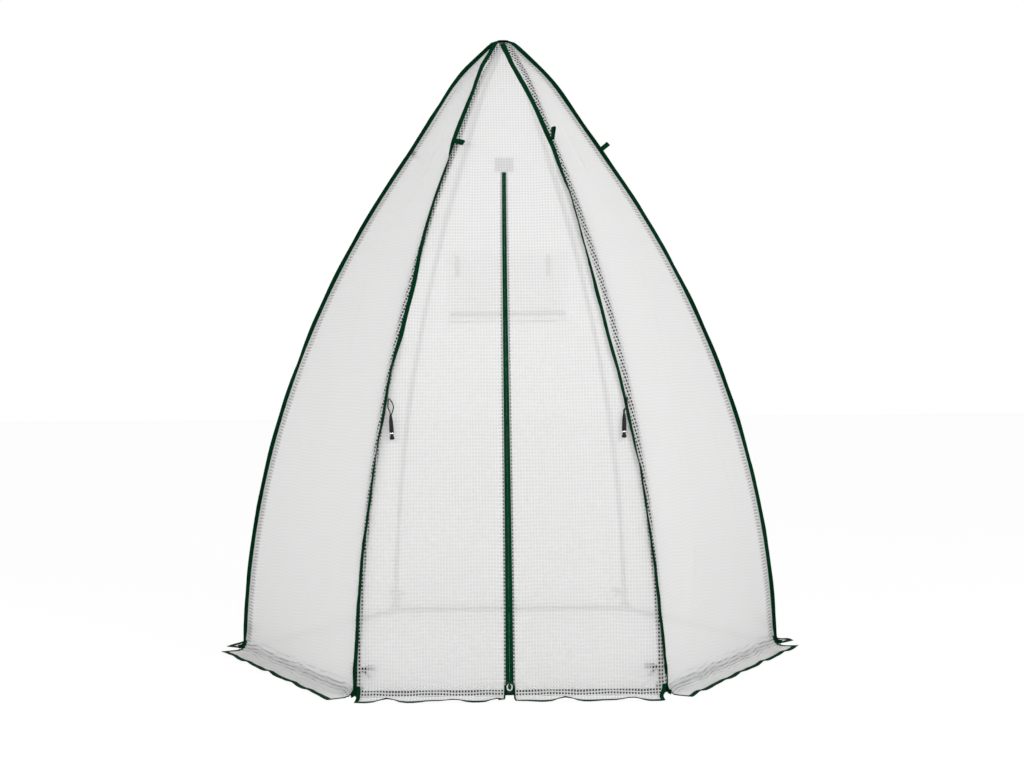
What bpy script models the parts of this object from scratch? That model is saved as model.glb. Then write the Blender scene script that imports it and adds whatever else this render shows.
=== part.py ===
"""Walk-in hexagonal greenhouse: six curved steel ribs under a reinforced film cover.

The frame is metric, +Z up, with its origin on the ground at the middle of the
hexagon. The door is in the front side, which faces -Y.
"""
from collections import namedtuple
from math import asin, cos, degrees, pi, radians, sin, sqrt, tan

import bmesh
import bpy
from mathutils import Matrix, Vector

# Overall shape of one side of the hexagon, seen edge on
SIDES = 6
ACROSS_FLATS = 1.532
FOOT_APOTHEM = ACROSS_FLATS / 2
FOOT_LEAN = radians(1.07)
SIDE_ARC_LENGTH = 1.65
SIDE_ARC_TURN = radians(29.48)
SIDE_ARC_RADIUS = SIDE_ARC_LENGTH / SIDE_ARC_TURN
SHOULDER_HEIGHT = 1.845
SHOULDER_LENGTH = 0.120
SHOULDER_TURN = radians(12.3)
CROWN_RADIUS = 0.030

# Film, seams and skirt
FILM = 0.0008
TOUCH = 0.0003
SEAM_GAP = 0.0006
SKIRT_WIDTH = 0.090
SKIRT_BEND = 0.008
SKIRT_BEND_STEPS = 3
BINDING_HEIGHT = 0.013
BINDING_THICKNESS = 0.0016
CROWN_BINDING_HEIGHT = 0.006
CROWN_CAP_RADIUS = 0.012
CROWN_CAP_SHARE = 0.7

# Steel tubes
TUBE_RADIUS = 0.008
TUBE_WALL = 0.0008
SPIGOT_FIT = 0.0003
SPIGOT_LENGTH = 0.035
RIB_SECTION = 0.57
RIB_SECTIONS = 4
RIB_STEPS = 3
RIB_TOP_FROM_SHOULDER = 0.010
TUBE_FACETS = 10

# Corner connectors and hub
CONNECTOR_RADIUS = 0.013
CONNECTOR_HEIGHT = 0.034
RIB_FOOT_GAP = 0.0007
HUB_BOSS_RADIUS = 0.022
HUB_BOSS_DEPTH = 0.020
HUB_CLEAR_OF_FILM = 0.002
SHOULDER_STEPS = 3
CROWN_STEPS = 4
CROWN_HOLE = 0.005

# Door flaps and zip
ZIP_TOP = 1.552
FOLD_TOP = 1.35
FOLD_FROM_SEAM = 0.0122
DOOR_SWING = radians(90)
DOOR_CLEARANCE = 0.0030
FOLD_FILM_FOOT = 0.050
ZIP_TAPE_WIDTH = 0.0107
ZIP_TAPE_THICKNESS = 0.0012
ZIP_HALF_GAP = 0.0003
ZIP_FILM_EDGE = 0.005
ZIP_FOOT = 0.043
NOTCH_FOOT = 0.0125
NOTCH_HEM = 0.0200
PATCH_SIZE = 0.058
PATCH_THICKNESS = 0.0006

# Zip slider and its pull
SLIDER_WIDTH = 0.020
SLIDER_LENGTH = 0.033
SLIDER_THICKNESS = 0.0050
SLIDER_WAIST = 0.75
SLIDER_TOP_STOP = 1.537
BRIDGE_WIDTH = 0.0050
BRIDGE_LENGTH = 0.0085
BRIDGE_WALL = 0.0015
PULL_WIDTH = 0.016
PULL_LENGTH = 0.024
PULL_THICKNESS = 0.0018
PULL_BAR = 0.0020
PULL_EYE_WIDTH = 0.0080
PULL_EYE_LENGTH = 0.0155
PULL_CORNER = 0.0040
PULL_EYE_CORNER = 0.0010

# Back window
WINDOW_WIDTH = 0.40
WINDOW_BOTTOM = 1.125
WINDOW_HEIGHT = 0.235
FLAP_OVERLAP = 0.022
FLAP_THICKNESS = 0.0008

# Tie-back toggles on the front ribs
TOGGLE_HEIGHT = 0.835
TOGGLE_FROM_SEAM = 0.020
TOGGLE_LOOP_LENGTH = 0.046
TOGGLE_LOOP_WIDTH = 0.013
TOGGLE_CORD_RADIUS = 0.0015
TOGGLE_BAR_LENGTH = 0.046
TOGGLE_BAR_RADIUS = 0.0048
TOGGLE_END_RADIUS = 0.0068
TOGGLE_END_LENGTH = 0.014
TOGGLE_FACETS = 10

# Webbing loops near the top of each seam
LOOP_HEIGHT = 1.65
LOOP_LENGTH = 0.038
LOOP_WIDTH = 0.016
LOOP_THICKNESS = 0.0056
LOOP_EYE = 0.0030
LOOP_ROOT_SHARE = 0.6
LOOP_TURNS = {
    "front_left": 105, "front_right": 40, "right": 30,
    "back_right": 62, "back_left": -62, "left": 95,
}

CORNER_STEPS = 2
FULL_ROUND = 0.48

HALF_ANGLE = pi / SIDES
RIB_NAMES = ("front_left", "front_right", "right", "back_right", "back_left", "left")
SIDE_NAMES = ("front", "right_front", "right_back", "back", "left_back", "left_front")

Row = namedtuple("Row", "apothem height out up span")
Stretch = namedtuple("Stretch", "start apothem height lean length turn")


# Shape of a side

def stretch_at(stretch, distance):
    """Apothem, height and lean of the film some way along one stretch of a side."""
    lean = stretch.lean + stretch.turn * distance / stretch.length
    if not stretch.turn:
        return (stretch.apothem - distance * sin(lean),
                stretch.height + distance * cos(lean), lean)
    radius = stretch.length / stretch.turn
    return (stretch.apothem - radius * (cos(stretch.lean) - cos(lean)),
            stretch.height + radius * (sin(lean) - sin(stretch.lean)), lean)


def next_stretch(stretch, length, turn=0.0):
    """The stretch of a side that carries on from another's end."""
    return Stretch(stretch.start + stretch.length, *stretch_at(stretch, stretch.length), length, turn)


def side_stretches():
    """The long arc, the straight above it, the shoulder, the cone and the round crown."""
    arc = Stretch(0.0, FOOT_APOTHEM, 0.0, FOOT_LEAN, SIDE_ARC_LENGTH, SIDE_ARC_TURN)
    _, height, lean = stretch_at(arc, arc.length)
    straight = next_stretch(arc, (SHOULDER_HEIGHT - height) / cos(lean))
    shoulder = next_stretch(straight, SHOULDER_LENGTH, SHOULDER_TURN)
    apothem, _, lean = stretch_at(shoulder, shoulder.length)
    cone = next_stretch(shoulder, (apothem - CROWN_RADIUS * cos(lean)) / sin(lean))
    turn = pi / 2 - lean
    return arc, straight, shoulder, cone, next_stretch(cone, CROWN_RADIUS * turn, turn)


def side_at(run):
    """Apothem, height and lean of the film where the tape measure reads run."""
    reached = [stretch for stretch in side_stretches() if stretch.start <= run]
    stretch = reached[-1] if reached else side_stretches()[0]
    return stretch_at(stretch, run - stretch.start)


def run_at_height(height):
    """Tape-measure reading at a height on the long arc or the straight above it."""
    arc_top = side_at(SIDE_ARC_LENGTH)
    if height <= arc_top[1]:
        return SIDE_ARC_RADIUS * (asin(height / SIDE_ARC_RADIUS + sin(FOOT_LEAN)) - FOOT_LEAN)
    return SIDE_ARC_LENGTH + (height - arc_top[1]) / cos(arc_top[2])


def crown_runs():
    """Readings where the crown's rounding starts and where it meets the axis."""
    crown = side_stretches()[-1]
    return crown.start, crown.start + crown.length


def rib_ends():
    """Readings where each rib section starts, and where the last one ends."""
    top = side_stretches()[2].start - RIB_TOP_FROM_SHOULDER
    return [min(RIB_SECTION * index, top) for index in range(RIB_SECTIONS)] + [top]


def rib_foot_run():
    """Reading where the lowest rib tubes stop, just above their connectors."""
    return run_at_height(CONNECTOR_HEIGHT + RIB_FOOT_GAP)


def section_runs(start, end):
    """Stations of one rib section: even steps, and one where the next spigot ends."""
    body = end - SPIGOT_LENGTH - start
    return [start + body * step / RIB_STEPS for step in range(RIB_STEPS + 1)] + [end]


def hub_runs():
    """Stations of a hub arm, from the rib's top end to near the axis."""
    shoulder, cone = side_stretches()[2:4]
    start, end = crown_runs()
    end -= CROWN_HOLE
    steps = [start + (end - start) * step / CROWN_STEPS for step in range(CROWN_STEPS + 1)]
    bends = [shoulder.start + shoulder.length * step / SHOULDER_STEPS for step in range(SHOULDER_STEPS)]
    return [rib_ends()[-1]] + bends + [cone.start] + steps


def film_runs():
    """Stations of the film: those of the ribs inside it, its window and its door."""
    ends = rib_ends()
    runs = set(hub_runs())
    for start, end in zip(ends, ends[1:]):
        runs.update(section_runs(start, end))
    runs.discard(0.0)
    runs.update((run_at_height(SKIRT_BEND + FILM), rib_foot_run(), run_at_height(FOLD_TOP)))
    runs.update(window_runs())
    return sorted(runs)


def window_runs():
    """Readings at the bottom and the top of the window opening."""
    low = run_at_height(WINDOW_BOTTOM)
    return low, low + WINDOW_HEIGHT


def wall_row(run):
    apothem, height, lean = side_at(run)
    return Row(apothem, height, cos(lean), sin(lean), apothem)


def skirt_rows():
    """Rows of the bend at the ground and of the skirt's hem."""
    foot = side_at(run_at_height(SKIRT_BEND + FILM))[0]
    rows = []
    for step in range(1, SKIRT_BEND_STEPS + 1):
        turn = pi / 2 * step / SKIRT_BEND_STEPS
        out = foot + SKIRT_BEND * (1 - cos(turn))
        up = FILM + SKIRT_BEND * (1 - sin(turn))
        rows.append(Row(out, up, cos(turn), sin(turn), foot))
    rows.append(Row(foot + SKIRT_WIDTH, FILM, 0.0, 1.0, foot))
    return rows


def side_rows():
    """Rows of a whole side, from the crown down the wall and out along the skirt."""
    walls = [wall_row(run) for run in reversed(film_runs())]
    return walls + skirt_rows()


def half_width(row, lift=0.0):
    """Half the width of a side's film at a row, up to its seams."""
    return (row.span + lift * row.out) * tan(HALF_ANGLE) - SEAM_GAP


def side_point(row, across, lift, side=0):
    """World point on a side: across it, and lift outward from the film's outer face."""
    point = Vector((across, -(row.apothem + lift * row.out), row.height + lift * row.up))
    return Matrix.Rotation(side * 2 * HALF_ANGLE, 3, "Z") @ point


# Ribs

def rib_inset(lean, reach):
    """How far inside the seam a round thing of this reach touches both films."""
    facing = cos(lean) ** 2 * cos(2 * HALF_ANGLE) + sin(lean) ** 2
    return reach / sqrt((1 + facing) / 2)


def rib_frame(run, lift, index=0):
    """Point, upward direction and outward normal in a rib's plane, lifted off the seam."""
    apothem, height, lean = side_at(run)
    rise = Vector((-sin(lean) / cos(HALF_ANGLE), 0.0, cos(lean))).normalized()
    outward = Vector((rise.z, 0.0, -rise.x))
    point = Vector((apothem / cos(HALF_ANGLE), 0.0, height)) + outward * lift
    turn = Matrix.Rotation(rib_angle(index), 3, "Z")
    return turn @ point, turn @ rise, turn @ outward


def rib_angle(index):
    """Direction of a rib from the axis; rib 0 is the front left one."""
    return -pi / 2 + HALF_ANGLE * (2 * index - 1)


def rib_axis(run, index):
    """A rib tube's centre line: point, upward direction and outward normal."""
    lean = side_at(run)[2]
    return rib_frame(run, -rib_inset(lean, FILM + TOUCH + TUBE_RADIUS), index)


# Mesh helpers

def material(name, colour, roughness, metallic=0.0, alpha=1.0):
    made = bpy.data.materials.new(name)
    made.use_nodes = True
    shader = made.node_tree.nodes["Principled BSDF"]
    shader.inputs["Base Color"].default_value = (*colour, 1.0)
    shader.inputs["Roughness"].default_value = roughness
    shader.inputs["Metallic"].default_value = metallic
    shader.inputs["Alpha"].default_value = alpha
    return made


def finish(name, mesh_data, look, origin=(0.0, 0.0, 0.0), parent=None):
    """Turn a bmesh in world places into an object whose origin is at its joint."""
    bmesh.ops.recalc_face_normals(mesh_data, faces=mesh_data.faces)
    origin = Vector(origin)
    bmesh.ops.translate(mesh_data, verts=mesh_data.verts, vec=-origin)
    mesh = bpy.data.meshes.new(name)
    mesh_data.to_mesh(mesh)
    mesh_data.free()
    mesh.materials.append(look)
    mesh.shade_smooth()
    mesh.set_sharp_from_angle(angle=radians(40))
    made = bpy.data.objects.new(name, mesh)
    bpy.context.collection.objects.link(made)
    if parent:
        made.parent = parent
        made.location = origin - Vector(parent.location)
    else:
        made.location = origin
    return made


def pivot(name, place):
    """An empty on a joint's axis, which carries the pieces that turn about it."""
    made = bpy.data.objects.new(name, None)
    made.location = place
    bpy.context.collection.objects.link(made)
    return made


def ring_points(centre, direction, outward, radius, facets):
    side = direction.cross(outward)
    points = []
    for step in range(facets):
        turn = 2 * pi * (step + 0.5) / facets
        points.append(centre + outward * radius * cos(turn) + side * radius * sin(turn))
    return points


def lathe(mesh_data, rings, closed=False):
    """Skin a row of rings; closed joins the last to the first, for a hollow tube."""
    loops = [[mesh_data.verts.new(point) for point in ring] for ring in rings]
    pairs = list(zip(loops, loops[1:]))
    if closed:
        pairs.append((loops[-1], loops[0]))
    for low, high in pairs:
        count = len(low)
        for index in range(count):
            after = (index + 1) % count
            mesh_data.faces.new((low[index], low[after], high[after], high[index]))
    if not closed:
        mesh_data.faces.new(loops[0])
        mesh_data.faces.new(loops[-1])


def sheet(mesh_data, rows, columns, low_lift, high_lift, side=0, is_open=None):
    """A thin closed sheet: columns(row, lift) gives its places across each row.

    is_open(row number, column number) leaves a cell out, for a window or a doorway.
    """
    grids = []
    for lift in (high_lift, low_lift):
        grids.append([
            [mesh_data.verts.new(side_point(row, across, lift, side))
             for across in columns(row, lift)]
            for row in rows
        ])
    cells = set()
    for number in range(len(rows) - 1):
        for column in range(len(grids[0][0]) - 1):
            if not (is_open and is_open(number, column)):
                cells.add((number, column))
    top, bottom = grids
    for number, column in cells:
        corners = ((number, column), (number + 1, column),
                   (number + 1, column + 1), (number, column + 1))
        mesh_data.faces.new([top[i][j] for i, j in corners])
        mesh_data.faces.new([bottom[i][j] for i, j in reversed(corners)])
        beside = ((number, column - 1), (number + 1, column),
                  (number, column + 1), (number - 1, column))
        for edge, neighbour in enumerate(beside):
            if neighbour in cells:
                continue
            first = corners[edge]
            second = corners[(edge + 1) % 4]
            mesh_data.faces.new((
                top[first[0]][first[1]], bottom[first[0]][first[1]],
                bottom[second[0]][second[1]], top[second[0]][second[1]],
            ))
    loose = [vert for vert in mesh_data.verts if not vert.link_faces]
    bmesh.ops.delete(mesh_data, geom=loose, context="VERTS")


def prism(mesh_data, outline, place, across, along, normal, thickness, hole=None):
    """Extrude a flat outline (across, along) by a thickness, with an optional hole."""
    def corner(point, depth):
        return place + across * point[0] + along * point[1] + normal * depth

    outlines = [outline] + ([hole] if hole else [])
    layers = []
    for depth in (0.0, thickness):
        layers.append([[mesh_data.verts.new(corner(p, depth)) for p in loop]
                       for loop in outlines])
    for number in range(len(outlines)):
        low, high = layers[0][number], layers[1][number]
        count = len(low)
        for index in range(count):
            after = (index + 1) % count
            mesh_data.faces.new((low[index], low[after], high[after], high[index]))
    for layer in layers:
        if not hole:
            mesh_data.faces.new(layer[0])
            continue
        outer, inner = layer
        count = len(outer)
        for index in range(count):
            after = (index + 1) % count
            mesh_data.faces.new((outer[index], outer[after], inner[after], inner[index]))


def rounded(width, length, corner=None, shift=0.0):
    """Outline of a plate with round corners; its ends are half round if none is given."""
    corner = corner or FULL_ROUND * width
    points = []
    for quarter, (right, up) in enumerate(((1, 1), (-1, 1), (-1, -1), (1, -1))):
        for step in range(CORNER_STEPS + 1):
            turn = pi / 2 * (quarter + step / CORNER_STEPS)
            points.append((right * (width / 2 - corner) + corner * cos(turn),
                           shift + up * (length / 2 - corner) + corner * sin(turn)))
    return points


def union(target, tools):
    """Weld closed meshes into one object with exact Boolean unions."""
    for tool in tools:
        modifier = target.modifiers.new("join", "BOOLEAN")
        modifier.operation = "UNION"
        modifier.solver = "EXACT"
        modifier.object = tool
        tool.hide_render = True
        tool.display_type = "WIRE"


# Frame

def rib_section(index, number, look):
    """One rib tube: its swaged lower end plugs into the tube below."""
    ends = rib_ends()
    runs = section_runs(ends[number], ends[number + 1])
    bore = TUBE_RADIUS - TUBE_WALL
    spigot = bore - SPIGOT_FIT
    if number == 0:
        foot_run = rib_foot_run()
        runs = [foot_run] + [run for run in runs if run > foot_run]

    def ring(run, radius, slip=0.0):
        centre, rise, outward = rib_axis(run, index)
        return ring_points(centre + rise * slip, rise, outward, radius, TUBE_FACETS)

    outer = [ring(runs[0], TUBE_RADIUS, TOUCH)]
    outer += [ring(run, TUBE_RADIUS) for run in runs[1:]]
    inner = [ring(run, bore) for run in reversed(runs[1:])]
    if number == 0:
        inner.append(ring(runs[0], bore, TOUCH))
        foot = []
    else:
        spigot_bore = spigot - TUBE_WALL
        tip = ends[number] - SPIGOT_LENGTH + TOUCH
        inner += [ring(runs[0], spigot_bore, TOUCH), ring(tip, spigot_bore)]
        foot = [ring(tip, spigot), ring(runs[0], spigot, TOUCH)]
    mesh_data = bmesh.new()
    lathe(mesh_data, foot + outer + inner, closed=True)
    return finish(f"{RIB_NAMES[index]}_rib_{number + 1}", mesh_data, look)


def corner_place(index):
    """Where the centre lines of two base tubes and a rib meet."""
    apothem = side_at(run_at_height(base_height()))[0] - FILM - TOUCH - TUBE_RADIUS
    turn = rib_angle(index)
    radius = apothem / cos(HALF_ANGLE)
    return Vector((radius * cos(turn), radius * sin(turn), base_height()))


def base_height():
    return TUBE_RADIUS + TOUCH


def body_place(index):
    """Centre of a corner connector's body, drawn in until its top clears the films."""
    film = side_at(run_at_height(CONNECTOR_HEIGHT))[0] - FILM - 2 * TOUCH
    radius = (film - CONNECTOR_RADIUS) / cos(HALF_ANGLE)
    turn = rib_angle(index)
    return Vector((radius * cos(turn), radius * sin(turn), base_height()))


def base_setback():
    """How far from the corner a base tube's end stops, just clear of the body."""
    drawn_in = (corner_place(0) - body_place(0)).length * sin(HALF_ANGLE)
    return CONNECTOR_RADIUS + drawn_in + TOUCH


def base_tube(index, look):
    """A straight ground tube from one corner connector to the next."""
    start = corner_place(index)
    end = corner_place((index + 1) % SIDES)
    direction = (end - start).normalized()
    start += direction * base_setback()
    end -= direction * base_setback()
    outward = Vector((0.0, 0.0, -1.0))
    bore = TUBE_RADIUS - TUBE_WALL
    rings = [
        ring_points(place, direction, outward, radius, TUBE_FACETS)
        for place, radius in ((start, TUBE_RADIUS), (end, TUBE_RADIUS), (end, bore), (start, bore))
    ]
    mesh_data = bmesh.new()
    lathe(mesh_data, rings, closed=True)
    return finish(f"{SIDE_NAMES[index]}_base_tube", mesh_data, look)


def spigot_arm(name, start, end, outward, look):
    """A solid peg from a connector's body into the bore of a tube."""
    direction = (end - start).normalized()
    radius = TUBE_RADIUS - TUBE_WALL - SPIGOT_FIT
    mesh_data = bmesh.new()
    lathe(mesh_data, [ring_points(start, direction, outward, radius, TUBE_FACETS),
                      ring_points(end, direction, outward, radius, TUBE_FACETS)])
    return finish(name, mesh_data, look)


def corner_connector(index, look):
    """Moulded corner: a flat-footed body with pegs for two base tubes and a rib."""
    name = f"{RIB_NAMES[index]}_corner"
    centre = body_place(index)
    foot = Vector((centre.x, centre.y, 0.0))
    top = Vector((centre.x, centre.y, CONNECTOR_HEIGHT))
    outward = Vector((cos(rib_angle(index)), sin(rib_angle(index)), 0.0))
    facets = 2 * SIDES
    up = Vector((0.0, 0.0, 1.0))
    mesh_data = bmesh.new()
    lathe(mesh_data, [ring_points(foot, up, outward, CONNECTOR_RADIUS, facets),
                      ring_points(top, up, outward, CONNECTOR_RADIUS, facets)])
    body = finish(name, mesh_data, look)
    place = corner_place(index)
    arms = []
    for step in (1, -1):
        towards = (corner_place((index + step) % SIDES) - place).normalized()
        length = base_setback() + SPIGOT_LENGTH
        down = Vector((0.0, 0.0, -1.0))
        arms.append(spigot_arm(f"{name}_peg_{step}", place, place + towards * length, down, look))
    low_run = run_at_height(CONNECTOR_HEIGHT / 2)
    foot_run = rib_foot_run()
    low, _, _ = rib_axis(low_run, index)
    start, rise, outward = rib_axis(foot_run, index)
    high_run = section_runs(*rib_ends()[:2])[1]
    towards = (rib_axis(high_run, index)[0] - start).normalized()
    arms.append(spigot_arm(f"{name}_peg_up", start - towards * (start - low).length,
                           start + towards * SPIGOT_LENGTH, outward, look))
    union(body, arms)
    return body


def hub_arm(index, look):
    """A curved arm of the hub over the crown, ending in a peg for the rib."""
    runs = hub_runs()
    spigot = TUBE_RADIUS - TUBE_WALL - SPIGOT_FIT
    low = runs[0] - SPIGOT_LENGTH

    def ring(run, radius, slip=0.0):
        centre, rise, outward = rib_axis(run, index)
        return ring_points(centre + rise * slip, rise, outward, radius, TUBE_FACETS)

    rings = [ring(low, spigot), ring(runs[0], spigot, TOUCH), ring(runs[0], TUBE_RADIUS, TOUCH)]
    rings += [ring(run, TUBE_RADIUS) for run in runs[1:]]
    mesh_data = bmesh.new()
    lathe(mesh_data, rings)
    return finish(f"hub_arm_{index}", mesh_data, look)


def apex_hub(look):
    """Moulded hub: a round boss and six arms that carry the ribs."""
    crown_start, crown_end = crown_runs()
    top = side_at(crown_end)[1] - FILM - HUB_CLEAR_OF_FILM
    top -= CROWN_RADIUS - sqrt(CROWN_RADIUS ** 2 - HUB_BOSS_RADIUS ** 2)
    up = Vector((0.0, 0.0, 1.0))
    outward = Vector((1.0, 0.0, 0.0))
    mesh_data = bmesh.new()
    lathe(mesh_data, [
        ring_points(Vector((0.0, 0.0, height)), up, outward, HUB_BOSS_RADIUS, 2 * SIDES)
        for height in (top - HUB_BOSS_DEPTH, top)
    ])
    hub = finish("apex_hub", mesh_data, look)
    union(hub, [hub_arm(index, look) for index in range(SIDES)])
    return hub


# Cover

def side_panel(index, look):
    """A plain side of the cover with its skirt, from the crown to the hem."""
    mesh_data = bmesh.new()
    sheet(mesh_data, side_rows(), lambda row, lift: [-half_width(row, lift), half_width(row, lift)],
          -FILM, 0.0, index)
    return finish(f"{SIDE_NAMES[index]}_panel", mesh_data, look)


def back_panel(look):
    """The back of the cover, with its window opening."""
    low, high = window_runs()
    rows = side_rows()
    low_height = side_at(low)[1]
    high_height = side_at(high)[1]

    def columns(row, lift):
        width = half_width(row, lift)
        window = min(WINDOW_WIDTH / 2, width * 0.9)
        return [-width, -window, window, width]

    def is_open(number, column):
        middle = (rows[number].height + rows[number + 1].height) / 2
        return column == 1 and low_height < middle < high_height

    mesh_data = bmesh.new()
    sheet(mesh_data, rows, columns, -FILM, 0.0, 3, is_open)
    return finish("back_panel", mesh_data, look)


def strip_rows(low, high):
    """Film rows between two tape-measure readings, both ends included."""
    inner = [run for run in film_runs() if low < run < high]
    return [wall_row(run) for run in reversed([low] + inner + [high])]


def window_net(look):
    """Insect net that fills the window opening."""
    low, high = window_runs()
    half = WINDOW_WIDTH / 2 - TOUCH
    mesh_data = bmesh.new()
    sheet(mesh_data, strip_rows(low + TOUCH, high - TOUCH), lambda row, lift: [-half, half],
          -FILM, 0.0, 3)
    return finish("window_net", mesh_data, look)


def window_flap(look):
    """Film flap over the window, hinged where its top edge is sewn on."""
    low, high = window_runs()
    half = WINDOW_WIDTH / 2 + FLAP_OVERLAP
    rows = strip_rows(low - FLAP_OVERLAP, high + FLAP_OVERLAP)
    hinge = side_point(rows[0], 0.0, TOUCH, 3)
    mesh_data = bmesh.new()
    sheet(mesh_data, rows, lambda row, lift: [-half, half], TOUCH, TOUCH + FLAP_THICKNESS, 3)
    return finish("window_flap", mesh_data, look, hinge)


# Door

def fold_line():
    """The straight line that a door flap swings about, foot first, for the right flap."""
    top_apothem, top_height, _ = side_at(run_at_height(FOLD_TOP))
    foot = Vector((FOOT_APOTHEM * tan(HALF_ANGLE) - FOLD_FROM_SEAM, -FOOT_APOTHEM, 0.0))
    top = Vector((0.0, -top_apothem, top_height))
    return foot, top


def fold_across(row):
    """How far from the zip the fold line is at a row's height."""
    foot, top = fold_line()
    return foot.x * max(0.0, 1 - max(row.height, 0.0) / top.z)


def fold_bulge(row):
    """How far the curved film stands in front of the fold line."""
    foot, top = fold_line()
    share = row.height / top.z
    return max(0.0, row.span + foot.y + (top.y - foot.y) * share)


def flap_edge(row):
    """Hinge-side edge of a flap, set back so that its swing clears the fixed film."""
    return fold_across(row) - fold_bulge(row) * tan(DOOR_SWING / 2) - DOOR_CLEARANCE


def flap_top():
    """Height where a flap gets as wide as its zip tape, found in small steps down."""
    run = run_at_height(FOLD_TOP)
    least = ZIP_HALF_GAP + ZIP_TAPE_WIDTH + DOOR_CLEARANCE
    while run > 0 and flap_edge(wall_row(run)) < least:
        run -= DOOR_CLEARANCE
    return run


def front_panel(look):
    """The fixed front film: all of the front side that the door leaves in place."""
    walls = [wall_row(run) for run in reversed(film_runs())]
    top = fold_line()[1].z

    def columns(row, lift):
        width = half_width(row, lift)
        inner = max(fold_across(row), ZIP_FILM_EDGE) + TOUCH
        inner = min(inner, width - SEAM_GAP)
        return [-width, -inner, inner, width]

    def is_open(number, column):
        return column == 1 and walls[number].height <= top + TOUCH

    mesh_data = bmesh.new()
    sheet(mesh_data, walls, columns, -FILM, 0.0, 0, is_open)
    return finish("front_panel", mesh_data, look)


def door_flap(sign, look, carrier):
    """One half of the door with its skirt, from its fold to the zip."""
    top = flap_top()
    runs = [run for run in film_runs() if run < top] + [top]
    rows = [wall_row(run) for run in reversed(runs)] + skirt_rows()

    def columns(row, lift):
        zip_edge = ZIP_FILM_EDGE
        if row.height < ZIP_FOOT:
            zip_edge = NOTCH_FOOT
        if row.apothem > FOOT_APOTHEM + SKIRT_BEND:
            zip_edge = NOTCH_HEM
        edges = [sign * zip_edge, sign * flap_edge(row)]
        return sorted(edges)

    mesh_data = bmesh.new()
    sheet(mesh_data, notch_rows(rows), columns, -FILM, 0.0)
    name = "right_door_flap" if sign > 0 else "left_door_flap"
    return finish(name, mesh_data, look, carrier.location, carrier)


def notch_rows(rows):
    """The same rows with two more, just above and below the end of the zip."""
    above = wall_row(run_at_height(ZIP_FOOT + TOUCH))
    below = wall_row(run_at_height(ZIP_FOOT - TOUCH))
    walls = [row for row in rows if row.apothem <= FOOT_APOTHEM]
    rest = rows[len(walls):]
    walls += [above, below]
    walls.sort(key=lambda row: -row.height)
    return walls + rest


def fold_film(sign, look):
    """The film that bends when a flap swings: between its fold and the flap's edge."""
    high = run_at_height(FOLD_TOP - FOLD_FILM_FOOT)
    low = run_at_height(FOLD_FILM_FOOT)
    top = flap_top()
    inner = [run for run in film_runs() if low < run < high]
    rows = [wall_row(run) for run in sorted([low, top, top + TOUCH, high] + inner, reverse=True)]
    flap_height = side_at(top)[1] + TOUCH / 2

    def columns(row, lift):
        near = flap_edge(row) + TOUCH if row.height < flap_height else ZIP_FILM_EDGE
        return sorted([sign * near, sign * (fold_across(row) - TOUCH)])

    mesh_data = bmesh.new()
    sheet(mesh_data, rows, columns, -FILM, 0.0)
    name = "right_door_fold" if sign > 0 else "left_door_fold"
    return finish(name, mesh_data, look)


def zip_tape(sign, look, carrier):
    """Half of the zip: the woven tape along a flap's free edge."""
    low = run_at_height(ZIP_FOOT + 2 * TOUCH)
    high = flap_top() - TOUCH
    edges = sorted([sign * ZIP_HALF_GAP, sign * (ZIP_HALF_GAP + ZIP_TAPE_WIDTH)])
    mesh_data = bmesh.new()
    sheet(mesh_data, strip_rows(low, high), lambda row, lift: edges,
          TOUCH, TOUCH + ZIP_TAPE_THICKNESS)
    name = "right_zip_tape" if sign > 0 else "left_zip_tape"
    return finish(name, mesh_data, look, carrier.location, carrier)


def zip_top(look):
    """The upper length of the zip, which stays closed: both tapes, meshed as one."""
    low = flap_top() + TOUCH
    high = run_at_height(ZIP_TOP)
    half = ZIP_HALF_GAP + ZIP_TAPE_WIDTH
    mesh_data = bmesh.new()
    sheet(mesh_data, strip_rows(low, high), lambda row, lift: [-half, half],
          TOUCH, TOUCH + ZIP_TAPE_THICKNESS)
    return finish("zip_top", mesh_data, look)


def zip_patch(look):
    """A square of doubled film that takes the strain above the zip."""
    low = run_at_height(ZIP_TOP) + TOUCH
    half = PATCH_SIZE / 2
    mesh_data = bmesh.new()
    sheet(mesh_data, strip_rows(low, low + PATCH_SIZE), lambda row, lift: [-half, half],
          TOUCH, TOUCH + PATCH_THICKNESS)
    return finish("zip_end_patch", mesh_data, look)


def arc_centre():
    """Centre of the arc that the zip follows, in the middle of the front."""
    return Vector((0.0, -(FOOT_APOTHEM - SIDE_ARC_RADIUS * cos(FOOT_LEAN)),
                   -SIDE_ARC_RADIUS * sin(FOOT_LEAN)))


def slider_frame():
    """Middle of the closed slider's back face, and its across, up and outward axes."""
    run = run_at_height(ZIP_FOOT) - SLIDER_LENGTH / 2 - TOUCH
    row = wall_row(run)
    lift = 2 * TOUCH + ZIP_TAPE_THICKNESS
    place = side_point(row, 0.0, lift)
    outward = Vector((0.0, -row.out, row.up))
    up = Vector((0.0, row.up, row.out))
    return place, Vector((1.0, 0.0, 0.0)), up, outward


def slider_travel():
    """Degrees that the slider runs along the zip's arc, from closed to its top stop."""
    low = run_at_height(ZIP_FOOT) - SLIDER_LENGTH / 2 - TOUCH
    high = run_at_height(SLIDER_TOP_STOP) - SLIDER_LENGTH / 2
    return degrees((high - low) / SIDE_ARC_RADIUS)


def pull_hinge():
    """Middle of the pull's bar, inside the slider's bridge, and the bar's reach."""
    place, _, up, outward = slider_frame()
    reach = sqrt(PULL_BAR ** 2 + PULL_THICKNESS ** 2) / 2 + TOUCH
    return place + up * SLIDER_LENGTH / 4 + outward * (SLIDER_THICKNESS + reach), reach


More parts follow.
